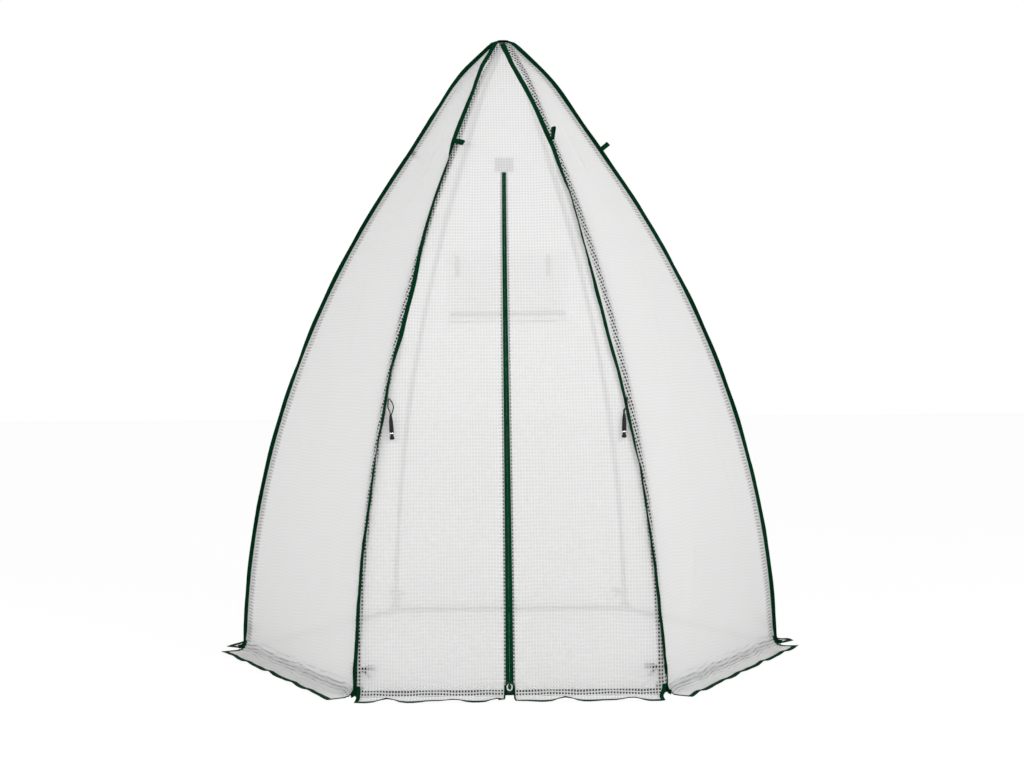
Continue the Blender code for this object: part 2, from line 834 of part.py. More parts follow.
def zip_slider(look, carrier):
    """The slider: a waisted body with a bridge that the pull hangs in."""
    place, across, up, outward = slider_frame()
    half = SLIDER_WIDTH / 2
    long = SLIDER_LENGTH / 2
    outline = [(-half * SLIDER_WAIST, -long), (half * SLIDER_WAIST, -long), (half, -long * 0.4),
               (half, long * 0.6), (half * 0.6, long), (-half * 0.6, long),
               (-half, long * 0.6), (-half, -long * 0.4)]
    mesh_data = bmesh.new()
    prism(mesh_data, outline, place, across, up, outward, SLIDER_THICKNESS)
    body = finish("zip_slider", mesh_data, look, carrier.location, carrier)
    hinge, reach = pull_hinge()
    deep = reach + SLIDER_THICKNESS / 2
    bridge = box_outline(BRIDGE_LENGTH / 2, deep, reach + BRIDGE_WALL)
    opening = box_outline(reach, reach + SLIDER_THICKNESS / 4, reach)
    mesh_data = bmesh.new()
    prism(mesh_data, bridge, hinge - across * BRIDGE_WIDTH / 2, up, outward, across,
          BRIDGE_WIDTH, opening)
    union(body, [finish("slider_bridge", mesh_data, look, carrier.location, carrier)])
    return body


def box_outline(half, below, above):
    return [(-half, -below), (half, -below), (half, above), (-half, above)]


def zip_pull(look, slider_carrier):
    """The pull: a plate with an eye, whose top bar turns inside the slider's bridge."""
    _, across, up, outward = slider_frame()
    hinge = pull_hinge()[0]
    centre = hinge - up * (PULL_LENGTH - PULL_BAR) / 2 - outward * PULL_THICKNESS / 2
    outer = rounded(PULL_WIDTH, PULL_LENGTH, PULL_CORNER)
    inner = rounded(PULL_EYE_WIDTH, PULL_EYE_LENGTH, PULL_EYE_CORNER,
                    (PULL_LENGTH - PULL_EYE_LENGTH) / 2 - PULL_BAR)
    mesh_data = bmesh.new()
    prism(mesh_data, outer, centre, across, up, outward, PULL_THICKNESS, inner)
    return finish("zip_pull", mesh_data, look, hinge, slider_carrier)


# Trim

def binding_height(run):
    """A binding stands full height up the ribs and is pressed lower over the crown."""
    start, end = crown_runs()
    share = min(1.0, max(0.0, (run - start) / (end - start)))
    return BINDING_HEIGHT + (CROWN_BINDING_HEIGHT - BINDING_HEIGHT) * share


def rib_binding(index, look):
    """The green binding sewn round a seam, standing out from it like a fin."""
    half = BINDING_THICKNESS / 2
    rings = []
    for run in film_runs()[1:]:
        low, rise, outward = rib_frame(run, TOUCH, index)
        side = rise.cross(outward)
        high = low + outward * binding_height(run)
        rings.append([low - side * half, low + side * half, high + side * half, high - side * half])
    mesh_data = bmesh.new()
    lathe(mesh_data, rings)
    return finish(f"{RIB_NAMES[index]}_binding", mesh_data, look)


def tie_loop(index, look):
    """A webbing loop sewn in with a seam's binding, for a guy line or a hook."""
    name = RIB_NAMES[index]
    base, rise, outward = rib_frame(run_at_height(LOOP_HEIGHT), TOUCH, index)
    side = rise.cross(outward)
    turn = radians(LOOP_TURNS[name])
    along = outward * cos(turn) + side * sin(turn)
    face = outward * -sin(turn) + side * cos(turn)
    root = base + outward * BINDING_HEIGHT * LOOP_ROOT_SHARE
    centre = root + along * (LOOP_LENGTH / 2 - LOOP_THICKNESS / 2)
    outer = rounded(LOOP_THICKNESS, LOOP_LENGTH)
    inner = rounded(LOOP_EYE, LOOP_LENGTH - LOOP_THICKNESS + LOOP_EYE)
    mesh_data = bmesh.new()
    prism(mesh_data, outer, centre - rise * LOOP_WIDTH / 2, face, along, rise, LOOP_WIDTH, inner)
    return finish(f"{name}_loop", mesh_data, look)


def seam_bindings(look):
    """All six bindings and their loops, sewn together under a cap at the apex."""
    low = side_at(crown_runs()[1])[1] + TOUCH
    up = Vector((0.0, 0.0, 1.0))
    outward = Vector((1.0, 0.0, 0.0))
    mesh_data = bmesh.new()
    lathe(mesh_data, [
        ring_points(Vector((0.0, 0.0, height)), up, outward, CROWN_CAP_RADIUS, 2 * SIDES)
        for height in (low, low + CROWN_BINDING_HEIGHT * CROWN_CAP_SHARE)
    ])
    cap = finish("seam_bindings", mesh_data, look)
    fins = [rib_binding(index, look) for index in range(SIDES)]
    union(cap, fins + [tie_loop(index, look) for index in range(SIDES)])
    return cap


def toggle_frame(sign):
    """Top of a tie-back toggle on the front film beside a rib, and its axes."""
    row = wall_row(run_at_height(TOGGLE_HEIGHT))
    across = sign * (half_width(row) - TOGGLE_FROM_SEAM)
    low_row = wall_row(run_at_height(TOGGLE_HEIGHT - toggle_length()))
    lift = TOUCH + TOGGLE_END_RADIUS
    top = side_point(row, across, lift)
    bottom = side_point(low_row, across, lift)
    down = (bottom - top).normalized()
    side = Vector((1.0, 0.0, 0.0))
    return top, down, side, down.cross(side)


def toggle_length():
    return TOGGLE_LOOP_LENGTH + TOGGLE_BAR_LENGTH + TOGGLE_END_LENGTH


def toggle(sign, look):
    """A tie-back toggle: an elastic loop that holds a bar with a flared end."""
    top, down, side, outward = toggle_frame(sign)
    name = "right_toggle" if sign > 0 else "left_toggle"
    mesh_data = bmesh.new()
    profile = (
        (TOGGLE_LOOP_LENGTH - 2 * TOGGLE_BAR_RADIUS, TOGGLE_CORD_RADIUS * 2),
        (TOGGLE_LOOP_LENGTH, TOGGLE_BAR_RADIUS * 0.8),
        (TOGGLE_LOOP_LENGTH + TOGGLE_BAR_LENGTH, TOGGLE_BAR_RADIUS),
        (TOGGLE_LOOP_LENGTH + TOGGLE_BAR_LENGTH, TOGGLE_BAR_RADIUS * 0.8),
        (TOGGLE_LOOP_LENGTH + TOGGLE_BAR_LENGTH + TOGGLE_END_LENGTH * 0.5, TOGGLE_BAR_RADIUS * 0.8),
        (toggle_length(), TOGGLE_END_RADIUS),
    )
    lathe(mesh_data, [
        ring_points(top + down * distance, down, outward, radius, TOGGLE_FACETS)
        for distance, radius in profile
    ])
    bar = finish(name, mesh_data, look, top)
    mesh_data = bmesh.new()
    cord = 2 * TOGGLE_CORD_RADIUS
    length = TOGGLE_LOOP_LENGTH
    centre = top + down * (length / 2 - cord) - outward * TOGGLE_CORD_RADIUS
    outer = rounded(TOGGLE_LOOP_WIDTH, length)
    inner = rounded(TOGGLE_LOOP_WIDTH - 2 * cord, length - 2 * cord)
    prism(mesh_data, outer, centre, side, -down, outward, cord, inner)
    union(bar, [finish(f"{name}_loop", mesh_data, look, top)])
    return bar


def clear_scene():
    for item in list(bpy.data.objects):
        bpy.data.objects.remove(item, do_unlink=True)


def build():
    clear_scene()
    steel = material("powder_coated_steel", (0.02, 0.022, 0.022), 0.45, 0.3)
    plastic = material("black_moulded_plastic", (0.015, 0.015, 0.016), 0.5)
    film = material("reinforced_film", (0.86, 0.88, 0.87), 0.35, 0.0, 0.45)
    green = material("green_binding", (0.005, 0.075, 0.035), 0.75)
    net = material("insect_net", (0.75, 0.78, 0.76), 0.8)
    metal = material("plated_metal", (0.75, 0.76, 0.77), 0.3, 0.9)
    cord = material("black_toggle_plastic", (0.012, 0.012, 0.013), 0.45)

    for index in range(SIDES):
        for number in range(RIB_SECTIONS):
            rib_section(index, number, steel)
        base_tube(index, steel)
        corner_connector(index, plastic)
    apex_hub(plastic)
    seam_bindings(green)

    front_panel(film)
    for index in (1, 2, 4, 5):
        side_panel(index, film)
    back_panel(film)
    window_net(net)
    window_flap(film)
    zip_top(green)
    zip_patch(film)

    foot = fold_line()[0]
    for sign, name in ((-1, "left_door_pivot"), (1, "right_door_pivot")):
        carrier = pivot(name, Vector((sign * foot.x, foot.y, foot.z)))
        door_flap(sign, film, carrier)
        zip_tape(sign, green, carrier)
        fold_film(sign, film)
        toggle(sign, cord)

    slider_carrier = pivot("zip_arc_centre", arc_centre())
    zip_slider(plastic, slider_carrier)
    zip_pull(metal, slider_carrier)


build()
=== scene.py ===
# %% [markdown]
# # A walk-in hexagonal greenhouse
# Six curved steel ribs stand on a hexagon of ground tubes and meet in a hub. A cover of
# reinforced film hangs over them, sewn from six long pointed sides with green binding.
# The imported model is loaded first, because every piece here is placed round its solids.

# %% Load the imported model
from math import cos, pi, radians, sin, tan

import bpy
import numpy as np
from mathutils import Matrix, Vector


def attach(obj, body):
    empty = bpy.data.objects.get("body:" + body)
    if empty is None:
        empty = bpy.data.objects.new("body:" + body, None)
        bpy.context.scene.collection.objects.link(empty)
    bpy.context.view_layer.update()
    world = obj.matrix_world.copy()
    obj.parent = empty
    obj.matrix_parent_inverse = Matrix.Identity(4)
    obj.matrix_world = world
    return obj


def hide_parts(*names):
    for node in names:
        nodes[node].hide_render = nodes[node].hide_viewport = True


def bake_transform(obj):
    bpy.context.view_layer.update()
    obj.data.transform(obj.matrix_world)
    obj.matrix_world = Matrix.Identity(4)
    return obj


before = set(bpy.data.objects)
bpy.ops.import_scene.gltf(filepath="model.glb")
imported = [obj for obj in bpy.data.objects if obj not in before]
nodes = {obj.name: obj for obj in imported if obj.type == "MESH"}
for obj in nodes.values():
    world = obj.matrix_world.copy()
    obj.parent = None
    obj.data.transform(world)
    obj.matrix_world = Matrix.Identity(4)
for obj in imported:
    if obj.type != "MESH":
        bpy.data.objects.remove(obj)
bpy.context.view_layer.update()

# %% [markdown]
# The photograph was taken from straight in front at about chest height, with a lens a bit
# longer than normal, and the picture leans by half a degree. Building the camera's axes by
# hand keeps that lean, which a plain rotation would hide.

# %% Camera
CAMERA_PLACE = Vector((0.0145, -5.30, 0.975))
CAMERA_LENS_MM = 55.72
SENSOR_WIDTH_MM = 36.0
CAMERA_PITCH = radians(1.0)
CAMERA_ROLL = radians(0.51)


def make_camera():
    camera = bpy.data.objects.new("camera", bpy.data.cameras.new("camera"))
    camera.data.lens = CAMERA_LENS_MM
    camera.data.sensor_width = SENSOR_WIDTH_MM
    forward = Vector((0.0, cos(CAMERA_PITCH), -sin(CAMERA_PITCH)))
    above = Vector((0.0, sin(CAMERA_PITCH), cos(CAMERA_PITCH)))
    aside = Vector((1.0, 0.0, 0.0))
    right = aside * cos(CAMERA_ROLL) - above * sin(CAMERA_ROLL)
    up = aside * sin(CAMERA_ROLL) + above * cos(CAMERA_ROLL)
    turn = Matrix((right, up, -forward)).transposed().to_4x4()
    camera.matrix_world = Matrix.Translation(CAMERA_PLACE) @ turn
    bpy.context.collection.objects.link(camera)
    bpy.context.scene.camera = camera
    return camera


print("camera lens:", make_camera().data.lens, "mm")

# %% [markdown]
# Nodes are easier to read when one line makes a node, sets it and links it. An input is
# named by its label, or by its number where a node has several with one label.

# %% Helpers for materials
def hex_colour(code):
    """A colour written as sRGB hex, turned to the linear values that shaders use."""
    parts = [int(code[i:i + 2], 16) / 255 for i in (1, 3, 5)]
    linear = [c / 12.92 if c <= 0.04045 else ((c + 0.055) / 1.055) ** 2.4 for c in parts]
    return (*linear, 1.0)


def add_node(tree, kind, inputs=None, **settings):
    made = tree.nodes.new(kind)
    for name, value in settings.items():
        setattr(made, name, value)
    for name, value in (inputs or {}).items():
        if isinstance(value, bpy.types.NodeSocket):
            tree.links.new(value, made.inputs[name])
        else:
            made.inputs[name].default_value = value
    return made


def calc(tree, operation, *values):
    """The result of one step of arithmetic."""
    step = add_node(tree, "ShaderNodeMath", dict(enumerate(values)), operation=operation)
    return step.outputs[0]


def map_range(tree, value, low, high):
    """A value from 0 to 1, spread between low and high."""
    return add_node(tree, "ShaderNodeMapRange", {
        "Value": value, "To Min": low, "To Max": high}).outputs[0]


def noise(tree, place, scale, detail):
    return add_node(tree, "ShaderNodeTexNoise", {
        "Vector": place, "Scale": scale, "Detail": detail}).outputs["Fac"]


def bump(tree, height, strength, distance):
    return add_node(tree, "ShaderNodeBump", {
        "Strength": strength, "Distance": distance, "Height": height}).outputs[0]


def mix_colours(tree, share, first, second):
    """A Mix node keeps the sockets of its colours after those of its other data types."""
    return add_node(tree, "ShaderNodeMix", {
        "Factor": share, 6: first, 7: second}, data_type="RGBA").outputs[2]


def mix_shaders(tree, share, first, second):
    return add_node(tree, "ShaderNodeMixShader", {0: share, 1: first, 2: second}).outputs[0]


def principled(tree, colour, roughness, inputs):
    return add_node(tree, "ShaderNodeBsdfPrincipled", {
        "Base Color": colour, "Roughness": roughness, **inputs}).outputs[0]


def metres(tree):
    """A piece's own measure: the vector, and its parts across and along."""
    measure = add_node(tree, "ShaderNodeUVMap", uv_map="metres").outputs[0]
    split = add_node(tree, "ShaderNodeSeparateXYZ", {0: measure})
    return measure, split.outputs["X"], split.outputs["Y"]


def new_material(name):
    """An empty material: its tree and its surface socket."""
    made = bpy.data.materials.new(name)
    made.use_nodes = True
    tree = made.node_tree
    tree.nodes.clear()
    return made, tree, add_node(tree, "ShaderNodeOutputMaterial").inputs["Surface"]


def paint(piece, look):
    """Give a whole piece one material."""
    piece.data.materials.clear()
    piece.data.materials.append(look)


print("white in linear values:", hex_colour("#ffffff")[:3])

# %% [markdown]
# The cover is clear polythene film laminated over a net of white tape yarns. The yarns
# are nearly opaque and the cells between them are hazy: what touches the film shows dark
# and sharp through a cell, and what stands further off fades to a soft grey. The plain
# sides hide more of what is behind them than the front and the back do, and their copy of
# the film is a little darker, as painted shade. One material draws the net from the
# sheet's own measure in metres, held in its UV map. The attribute "contact" says where a
# tube or a tape lies right behind the film, and a second attribute marks the valleys of
# the skirt's creases, where a darker grey is painted in as painted shade.

# %% Reinforced film
NET_ACROSS_MM = 8.7
NET_ALONG_MM = 10.7
YARN_SHARE = 0.38
YARN_EDGE = 0.12
CELL_CLEAR_FAR = 0.25
CELL_CLEAR_TOUCHING = 0.95
YARN_CLEAR = 0.08
# Darker grey painted along the valleys of the skirt's creases, as painted shade
CREASE_SHADE_GREY = "#8d9290"
FILM_ROUGHNESS, FILM_IOR = 0.32, 1.51
FILM_GLOW = 0.5
NET_RELIEF = (0.25, 0.0003)


def from_yarn(tree, position, pitch_mm):
    """0 at the middle of each yarn and 0.5 halfway to the next, along one direction."""
    return calc(tree, "PINGPONG", calc(tree, "MULTIPLY", position, 1000.0 / pitch_mm), 0.5)


def yarns(tree, position, pitch_mm):
    """1 on a yarn and 0 in the cells beside it."""
    return add_node(tree, "ShaderNodeMapRange", {
        "Value": from_yarn(tree, position, pitch_mm), "To Min": 1.0, "To Max": 0.0,
        "From Min": (YARN_SHARE - YARN_EDGE) / 2, "From Max": (YARN_SHARE + YARN_EDGE) / 2,
    }, interpolation_type="SMOOTHSTEP").outputs[0]


def reinforced_film(name, yarn_hex, cell_hex, haze):
    """haze: how much of its far view the film loses, from 0 to 1."""
    look, tree, surface = new_material(name)
    _, across, along = metres(tree)
    net = calc(tree, "MAXIMUM", yarns(tree, across, NET_ACROSS_MM),
               yarns(tree, along, NET_ALONG_MM))
    contact, crease_shade = (add_node(tree, "ShaderNodeAttribute", attribute_name=title).outputs["Fac"]
                        for title in ("contact", "crease_shade"))
    clear = map_range(tree, contact, CELL_CLEAR_FAR * (1 - haze), CELL_CLEAR_TOUCHING)
    through = map_range(tree, net, clear, YARN_CLEAR * (1 - haze))
    # Painted shade: along the valleys of the skirt's creases the film is mixed to a darker grey
    colour = mix_colours(tree, net, hex_colour(cell_hex), hex_colour(yarn_hex))
    colour = mix_colours(tree, crease_shade, colour, hex_colour(CREASE_SHADE_GREY))
    front = principled(tree, colour, FILM_ROUGHNESS, {
        "IOR": FILM_IOR, "Normal": bump(tree, net, *NET_RELIEF)})
    glow = add_node(tree, "ShaderNodeBsdfTranslucent", {"Color": colour}).outputs[0]
    body = mix_shaders(tree, FILM_GLOW, front, glow)
    open_cell = add_node(tree, "ShaderNodeBsdfTransparent").outputs[0]
    tree.links.new(mix_shaders(tree, through, body, open_cell), surface)
    return look


FILM = reinforced_film("reinforced_polythene_film", "#ebebeb", "#ececeb", 0.0)
# The sides are the same film made hazier, and drawn a little darker as painted shade
HAZIER_SHADED_FILM = reinforced_film("hazier_shaded_polythene_film", "#e9e9e9", "#eaeae9", 0.6)
DOUBLED_FILM = reinforced_film("doubled_polythene_film", "#e0dfe0", "#d4d2d3", 0.6)
print("film net:", NET_ACROSS_MM, "x", NET_ALONG_MM, "mm")

# %% [markdown]
# The binding is woven polypropylene tape, folded over the seam and sewn. Its weave is
# too fine for the picture, so it is drawn at about twice its size, and the stitches are
# short pale dashes beside the folded edge.

# %% Woven tape, steel and plastics
TAPE_WEAVE_MM = 1.2
STITCH_MM = 4.0
STITCH_SHARE = 0.62
STITCH_INSET_MM = 3.0
STITCH_HALF_MM = 0.6
TAPE_ROUGHNESS, TAPE_IOR, TAPE_SHINE = 0.75, 1.49, 0.03
TAPE_CLOUDS = (45.0, 3.0)
TAPE_RELIEF = (0.4, 0.0003)
SOLID_CLOUDS = (18.0, 4.0)
GRAIN_RELIEF = 0.3
METAL_SHINE, PLAIN_SHINE = 0.5, 0.15


def woven_tape(name, base_hex, light_hex):
    """Tape that reads its own UV map: x across its width and y along it, in metres."""
    look, tree, surface = new_material(name)
    measure, across, along = metres(tree)
    weave = add_node(tree, "ShaderNodeTexWave", {
        "Vector": measure, "Scale": 1000.0 / TAPE_WEAVE_MM / 2 / pi, "Distortion": 0.6,
        "Detail": 1.0, "Detail Scale": 3.0,
    }, wave_type="BANDS", bands_direction="DIAGONAL").outputs["Fac"]
    near = calc(tree, "COMPARE", across, STITCH_INSET_MM / 1000, STITCH_HALF_MM / 1000)
    beat = calc(tree, "FRACT", calc(tree, "MULTIPLY", along, 1000.0 / STITCH_MM))
    stitch = calc(tree, "MULTIPLY", near, calc(tree, "LESS_THAN", beat, STITCH_SHARE))
    shade = calc(tree, "MULTIPLY", noise(tree, measure, *TAPE_CLOUDS), weave)
    light = hex_colour(light_hex)
    colour = mix_colours(tree, shade, hex_colour(base_hex), light)
    colour = mix_colours(tree, stitch, colour, light)
    relief = bump(tree, calc(tree, "ADD", weave, stitch), *TAPE_RELIEF)
    tree.links.new(principled(tree, colour, TAPE_ROUGHNESS, {
        "IOR": TAPE_IOR, "Specular IOR Level": TAPE_SHINE, "Normal": relief}), surface)
    return look


def solid_finish(name, base_hex, worn_hex, grain_mm, roughness, rough_spread, metallic, bump_mm):
    """A moulded, coated or plated surface with faint clouding and grain."""
    look, tree, surface = new_material(name)
    place = add_node(tree, "ShaderNodeTexCoord").outputs["Object"]
    grain = noise(tree, place, 1000.0 / grain_mm, 2.0)
    clouds = noise(tree, place, *SOLID_CLOUDS)
    colour = mix_colours(tree, clouds, hex_colour(base_hex), hex_colour(worn_hex))
    rough = map_range(tree, grain, roughness - rough_spread, roughness + rough_spread)
    tree.links.new(principled(tree, colour, rough, {
        "Metallic": metallic, "Specular IOR Level": METAL_SHINE if metallic else PLAIN_SHINE,
        "Normal": bump(tree, grain, GRAIN_RELIEF, bump_mm / 1000)}), surface)
    return look


GREEN_TAPE = woven_tape("green_polypropylene_tape", "#002512", "#01351e")
DARK_TAPE = woven_tape("dark_zip_tape", "#002b17", "#034026")
STEEL = solid_finish("powder_coated_steel", "#17191a", "#222526", 0.8, 0.42, 0.08, 0.0, 0.05)
PLASTIC = solid_finish(
    "moulded_black_polypropylene", "#0d0d0e", "#171718", 0.5, 0.5, 0.08, 0.0, 0.04)
ELASTIC = solid_finish("black_elastic_cord", "#101011", "#2a2a2c", 1.2, 0.8, 0.05, 0.0, 0.3)
PLATED = solid_finish("plated_zinc", "#dfe1e2", "#c3c6c8", 1.0, 0.25, 0.06, 0.9, 0.02)
ENAMEL = solid_finish("dark_green_enamel", "#04301d", "#083c26", 0.5, 0.35, 0.06, 0.0, 0.02)
GREEN_NYLON = solid_finish("green_nylon_coil", "#01301c", "#014228", 0.6, 0.4, 0.06, 0.0, 0.03)
print("materials:", len(bpy.data.materials))

# %% [markdown]
# Steel tubes, ground tubes, corners and hub are right as they come from the solids, so
# they only take a material.

# %% Frame finishes
def dress_frame():
    dressed = 0
    for name, node in nodes.items():
        tube = "_rib_" in name or name.endswith("_base_tube")
        if tube or name.endswith("_corner") or name == "apex_hub":
            paint(node, STEEL if tube else PLASTIC)
            dressed += 1
    return dressed


print("frame pieces dressed:", dress_frame())

# %% [markdown]
# Each side of the cover follows one long arc, a straight stretch, a short shoulder where
# it turns in over the rib ends, a cone and a small round crown. Everything is placed by a
# tape measure's reading up the middle of a side, called run, so the same curve serves the
# film, the bindings and the zip.

# %% The shape of a side
HALF_ANGLE = radians(30)
FOOT_APOTHEM = 0.766
FOOT_LEAN = radians(1.07)
ARC_LENGTH = 1.65
ARC_TURN = radians(29.48)
ARC_RADIUS = ARC_LENGTH / ARC_TURN
SHOULDER_HEIGHT = 1.845
SHOULDER_LENGTH = 0.120
SHOULDER_TURN = radians(12.3)
CROWN_RADIUS = 0.030
CROWN_HOLE = 0.004


def stretch_at(stretch, distance):
    """Apothem, height and lean some way along one stretch of a side."""
    _, apothem, height, first_lean, length, turn = stretch
    if not turn:
        lean = first_lean + 0.0 * distance
        return apothem - distance * sin(first_lean), height + distance * cos(first_lean), lean
    lean = first_lean + turn * distance / length
    radius = length / turn
    return (apothem - radius * (cos(first_lean) - np.cos(lean)),
            height + radius * (np.sin(lean) - sin(first_lean)), lean)


def next_stretch(stretch, length, turn=0.0):
    """The stretch that carries on from another's end."""
    apothem, height, lean = (float(value) for value in stretch_at(stretch, stretch[4]))
    return stretch[0] + stretch[4], apothem, height, lean, length, turn


def side_stretches():
    """Each one: where it starts, its apothem, height and lean there, its length and turn."""
    arc = (0.0, FOOT_APOTHEM, 0.0, FOOT_LEAN, ARC_LENGTH, ARC_TURN)
    _, height, lean = stretch_at(arc, ARC_LENGTH)
    straight = next_stretch(arc, float((SHOULDER_HEIGHT - height) / np.cos(lean)))
    shoulder = next_stretch(straight, SHOULDER_LENGTH, SHOULDER_TURN)
    apothem, _, lean = (float(value) for value in stretch_at(shoulder, SHOULDER_LENGTH))
    cone = next_stretch(shoulder, (apothem - CROWN_RADIUS * cos(lean)) / sin(lean))
    crown = next_stretch(cone, CROWN_RADIUS * (pi / 2 - lean), pi / 2 - lean)
    return arc, straight, shoulder, cone, crown


STRETCHES = side_stretches()
SHOULDER_START = STRETCHES[2][0]
CROWN_START = STRETCHES[4][0]
CROWN_END = CROWN_START + STRETCHES[4][4]


def side_at(run):
    """Apothem, height and lean of the film at readings of the tape measure."""
    run = np.asarray(run, float)
    found = stretch_at(STRETCHES[0], run)
    for stretch in STRETCHES[1:]:
        further = run > stretch[0]
        here = stretch_at(stretch, run - stretch[0])
        found = tuple(np.where(further, new, old) for new, old in zip(here, found))
    return found


def run_at(height):
    """Tape-measure reading at a height below the shoulder."""
    _, _, arc_top, lean, _, _ = STRETCHES[1]
    height = np.asarray(height, float)
    rise = np.minimum(height / ARC_RADIUS + sin(FOOT_LEAN), 1.0)
    low = ARC_RADIUS * (np.arcsin(rise) - FOOT_LEAN)
    high = ARC_LENGTH + (height - arc_top) / cos(lean)
    return np.where(height <= arc_top, low, high)


def direction(angle):
    return np.array([cos(angle), sin(angle), 0.0])


def turned(first, second, angle):
    """Two square directions, both turned by an angle from the first towards the second."""
    cosine, sine = np.cos(angle)[..., None], np.sin(angle)[..., None]
    return cosine * first + sine * second, cosine * second - sine * first


UP = np.array([0.0, 0.0, 1.0])
ACROSS = np.array([1.0, 0.0, 0.0])
print("a side measures", round(CROWN_END, 3), "m from the ground to the top")

# %% [markdown]
# Where two sides meet, the film wraps round the rib's tube before it reaches the seam.
# A place there is given by q, measured round the corner from its middle, positive towards
# the side with the rib's own number. On the front ribs the cover has slipped round by a
# few millimetres, more in some places than in others, and the binding leans over. Tables
# by height hold how far the seam lies from the tube towards the door, and how the binding
# leans that way, with the heights in centimetres.

# %% Corners round the ribs
SIDES = 6
WRAP_RADIUS = 0.0092
CORNER_ZONE = 0.030
FLAT_MARGIN = 0.038
SMALL_WIDTH = 0.05
RIB_NAMES = ("front_left", "front_right", "right", "back_right", "back_left", "left")
SIDE_NAMES = ("front", "right_front", "right_back", "back", "left_back", "left_front")
DOOR_HAND = {0: 1, 1: -1}
SLIP_MM = {
    0: ((3, 3), (8, 2), (16, 4), (40, 4), (56, 9), (68, 7), (72, 5), (80, 6), (88, 4), (96, 4),
        (104, 8), (116, 9), (120, 8), (136, -3), (148, -8), (156, -8), (166, -3), (184, 6),
        (188, 6), (192, 3), (196, 3)),
    1: ((3, -12), (8, -11), (16, -2), (24, 4), (36, 6), (44, 9), (60, 12), (64, 11), (92, 17),
        (104, 23), (132, 21), (148, 12), (156, 10), (164, 5), (176, 9), (184, 14), (188, 18),
        (192, 19), (196, 17)),
}
LEAN_DEGREES = {
    0: ((3, -25), (8, -40), (36, -25), (44, -30), (48, -20), (56, -25), (68, -5), (72, 20),
        (80, 40), (96, 40), (104, 80), (108, 90), (128, 85), (136, 100), (156, 95), (160, 60),
        (166, -20), (176, -35), (180, -45), (184, -40), (196, -50)),
    1: ((3, 25), (12, 35), (24, -25), (28, -35), (44, -15), (64, -15), (68, 20), (76, 40),
        (116, 55), (132, 25), (148, 25), (164, 85), (196, 90)),
}


def by_height(table, run):
    """Reads a table of (height in cm, value) at tape-measure readings."""
    heights, values = zip(*table)
    return np.interp(side_at(run)[1], np.array(heights) / 100, values)


def rib_angle(rib):
    return -pi / 2 + HALF_ANGLE * (2 * rib - 1)


def half_width(run):
    return side_at(run)[0] * tan(HALF_ANGLE)


def near_crown(run):
    """Falls from 1 to 0 where a side narrows to nothing under the cap."""
    return np.minimum(1.0, half_width(run) / SMALL_WIDTH)


def seam_slip(rib, run):
    """q of the seam itself."""
    rib = rib % SIDES
    if rib not in SLIP_MM:
        return np.zeros_like(np.asarray(run, float))
    return DOOR_HAND[rib] * by_height(SLIP_MM[rib], run) / 1000 * near_crown(run)


def binding_lean(rib, run):
    """How far a binding leans over, as an angle towards growing q."""
    if rib in LEAN_DEGREES:
        return DOOR_HAND[rib] * np.radians(by_height(LEAN_DEGREES[rib], run))
    return radians(20) * np.sin(7.0 * run + 2.1 * rib) + radians(8) * np.sin(19.0 * run + rib)


def half_turn(lean):
    """Half the angle that the film turns through at a rib, where its sides lean so far."""
    facing = np.cos(lean) ** 2 * cos(2 * HALF_ANGLE) + np.sin(lean) ** 2
    return np.arccos(np.sqrt((1 + facing) / 2))


def corner_frame(rib, run):
    """Seam point, upward and outward directions, half turn and wrap radius on a rib."""
    apothem, height, lean = side_at(run)
    radial = direction(rib_angle(rib))
    rise = (-np.sin(lean) / cos(HALF_ANGLE))[..., None] * radial + np.cos(lean)[..., None] * UP
    rise = rise / np.linalg.norm(rise, axis=-1, keepdims=True)
    outward = rise[..., 2:3] * radial - (rise @ radial)[..., None] * UP
    seam = (apothem / cos(HALF_ANGLE))[..., None] * radial + height[..., None] * UP
    return seam, rise, outward, half_turn(lean), WRAP_RADIUS * near_crown(run)


def corner_point(rib, run, q):
    """Places on the film round a rib, and the film's outward normals there."""
    run, q = np.broadcast_arrays(np.asarray(run, float), np.asarray(q, float))
    seam, _, outward, turn, radius = corner_frame(rib, run)
    aside = direction(rib_angle(rib) + pi / 2)
    axis = seam - (radius / np.cos(turn))[..., None] * outward
    angle = np.clip(q / np.maximum(radius, 1e-6), -turn, turn)
    beyond = np.sign(q) * np.maximum(np.abs(q) - radius * turn, 0.0)
    normal, along = turned(outward, aside, angle)
    return axis + radius[..., None] * normal + beyond[..., None] * along, normal


def corner_measure(run, q, hand):
    """The film's own measure at q: across from the middle of the side, and up."""
    run, q = np.broadcast_arrays(np.asarray(run, float), np.asarray(q, float))
    lean = side_at(run)[2]
    turn = half_turn(lean)
    radius = WRAP_RADIUS * near_crown(run)
    inward = radius * np.tan(turn) - radius * turn - hand * q
    slope = np.arctan(tan(HALF_ANGLE) * np.sin(lean))
    across = hand * (half_width(run) - inward * np.cos(slope))
    return across, run - inward * np.sin(slope)


def side_ways(side):
    """The directions out of a side and to its right, both level."""
    return direction(-pi / 2 + 2 * HALF_ANGLE * side), direction(2 * HALF_ANGLE * side)


def side_point(side, across, run, lift=0.0):
    """Places on the flat of a side and their outward normal, lifted off the film."""
    apothem, height, lean = side_at(run)
    out, right = side_ways(side)
    normal, _ = turned(out, UP, lean)
    place = apothem[..., None] * out + np.asarray(across)[..., None] * right
    place = place + height[..., None] * UP
    return place + np.asarray(lift)[..., None] * normal, normal


print("film wraps a rib by", round(1000 * WRAP_RADIUS * 2 * HALF_ANGLE, 1), "mm")

# %% [markdown]
# The cover hangs a little askew on its frame: the zip and the top have crept to the left.
# A place on the front moves sideways, most in the middle. Near the top a place moves more
# the further left it is, so the film only ever moves away from the tubes.

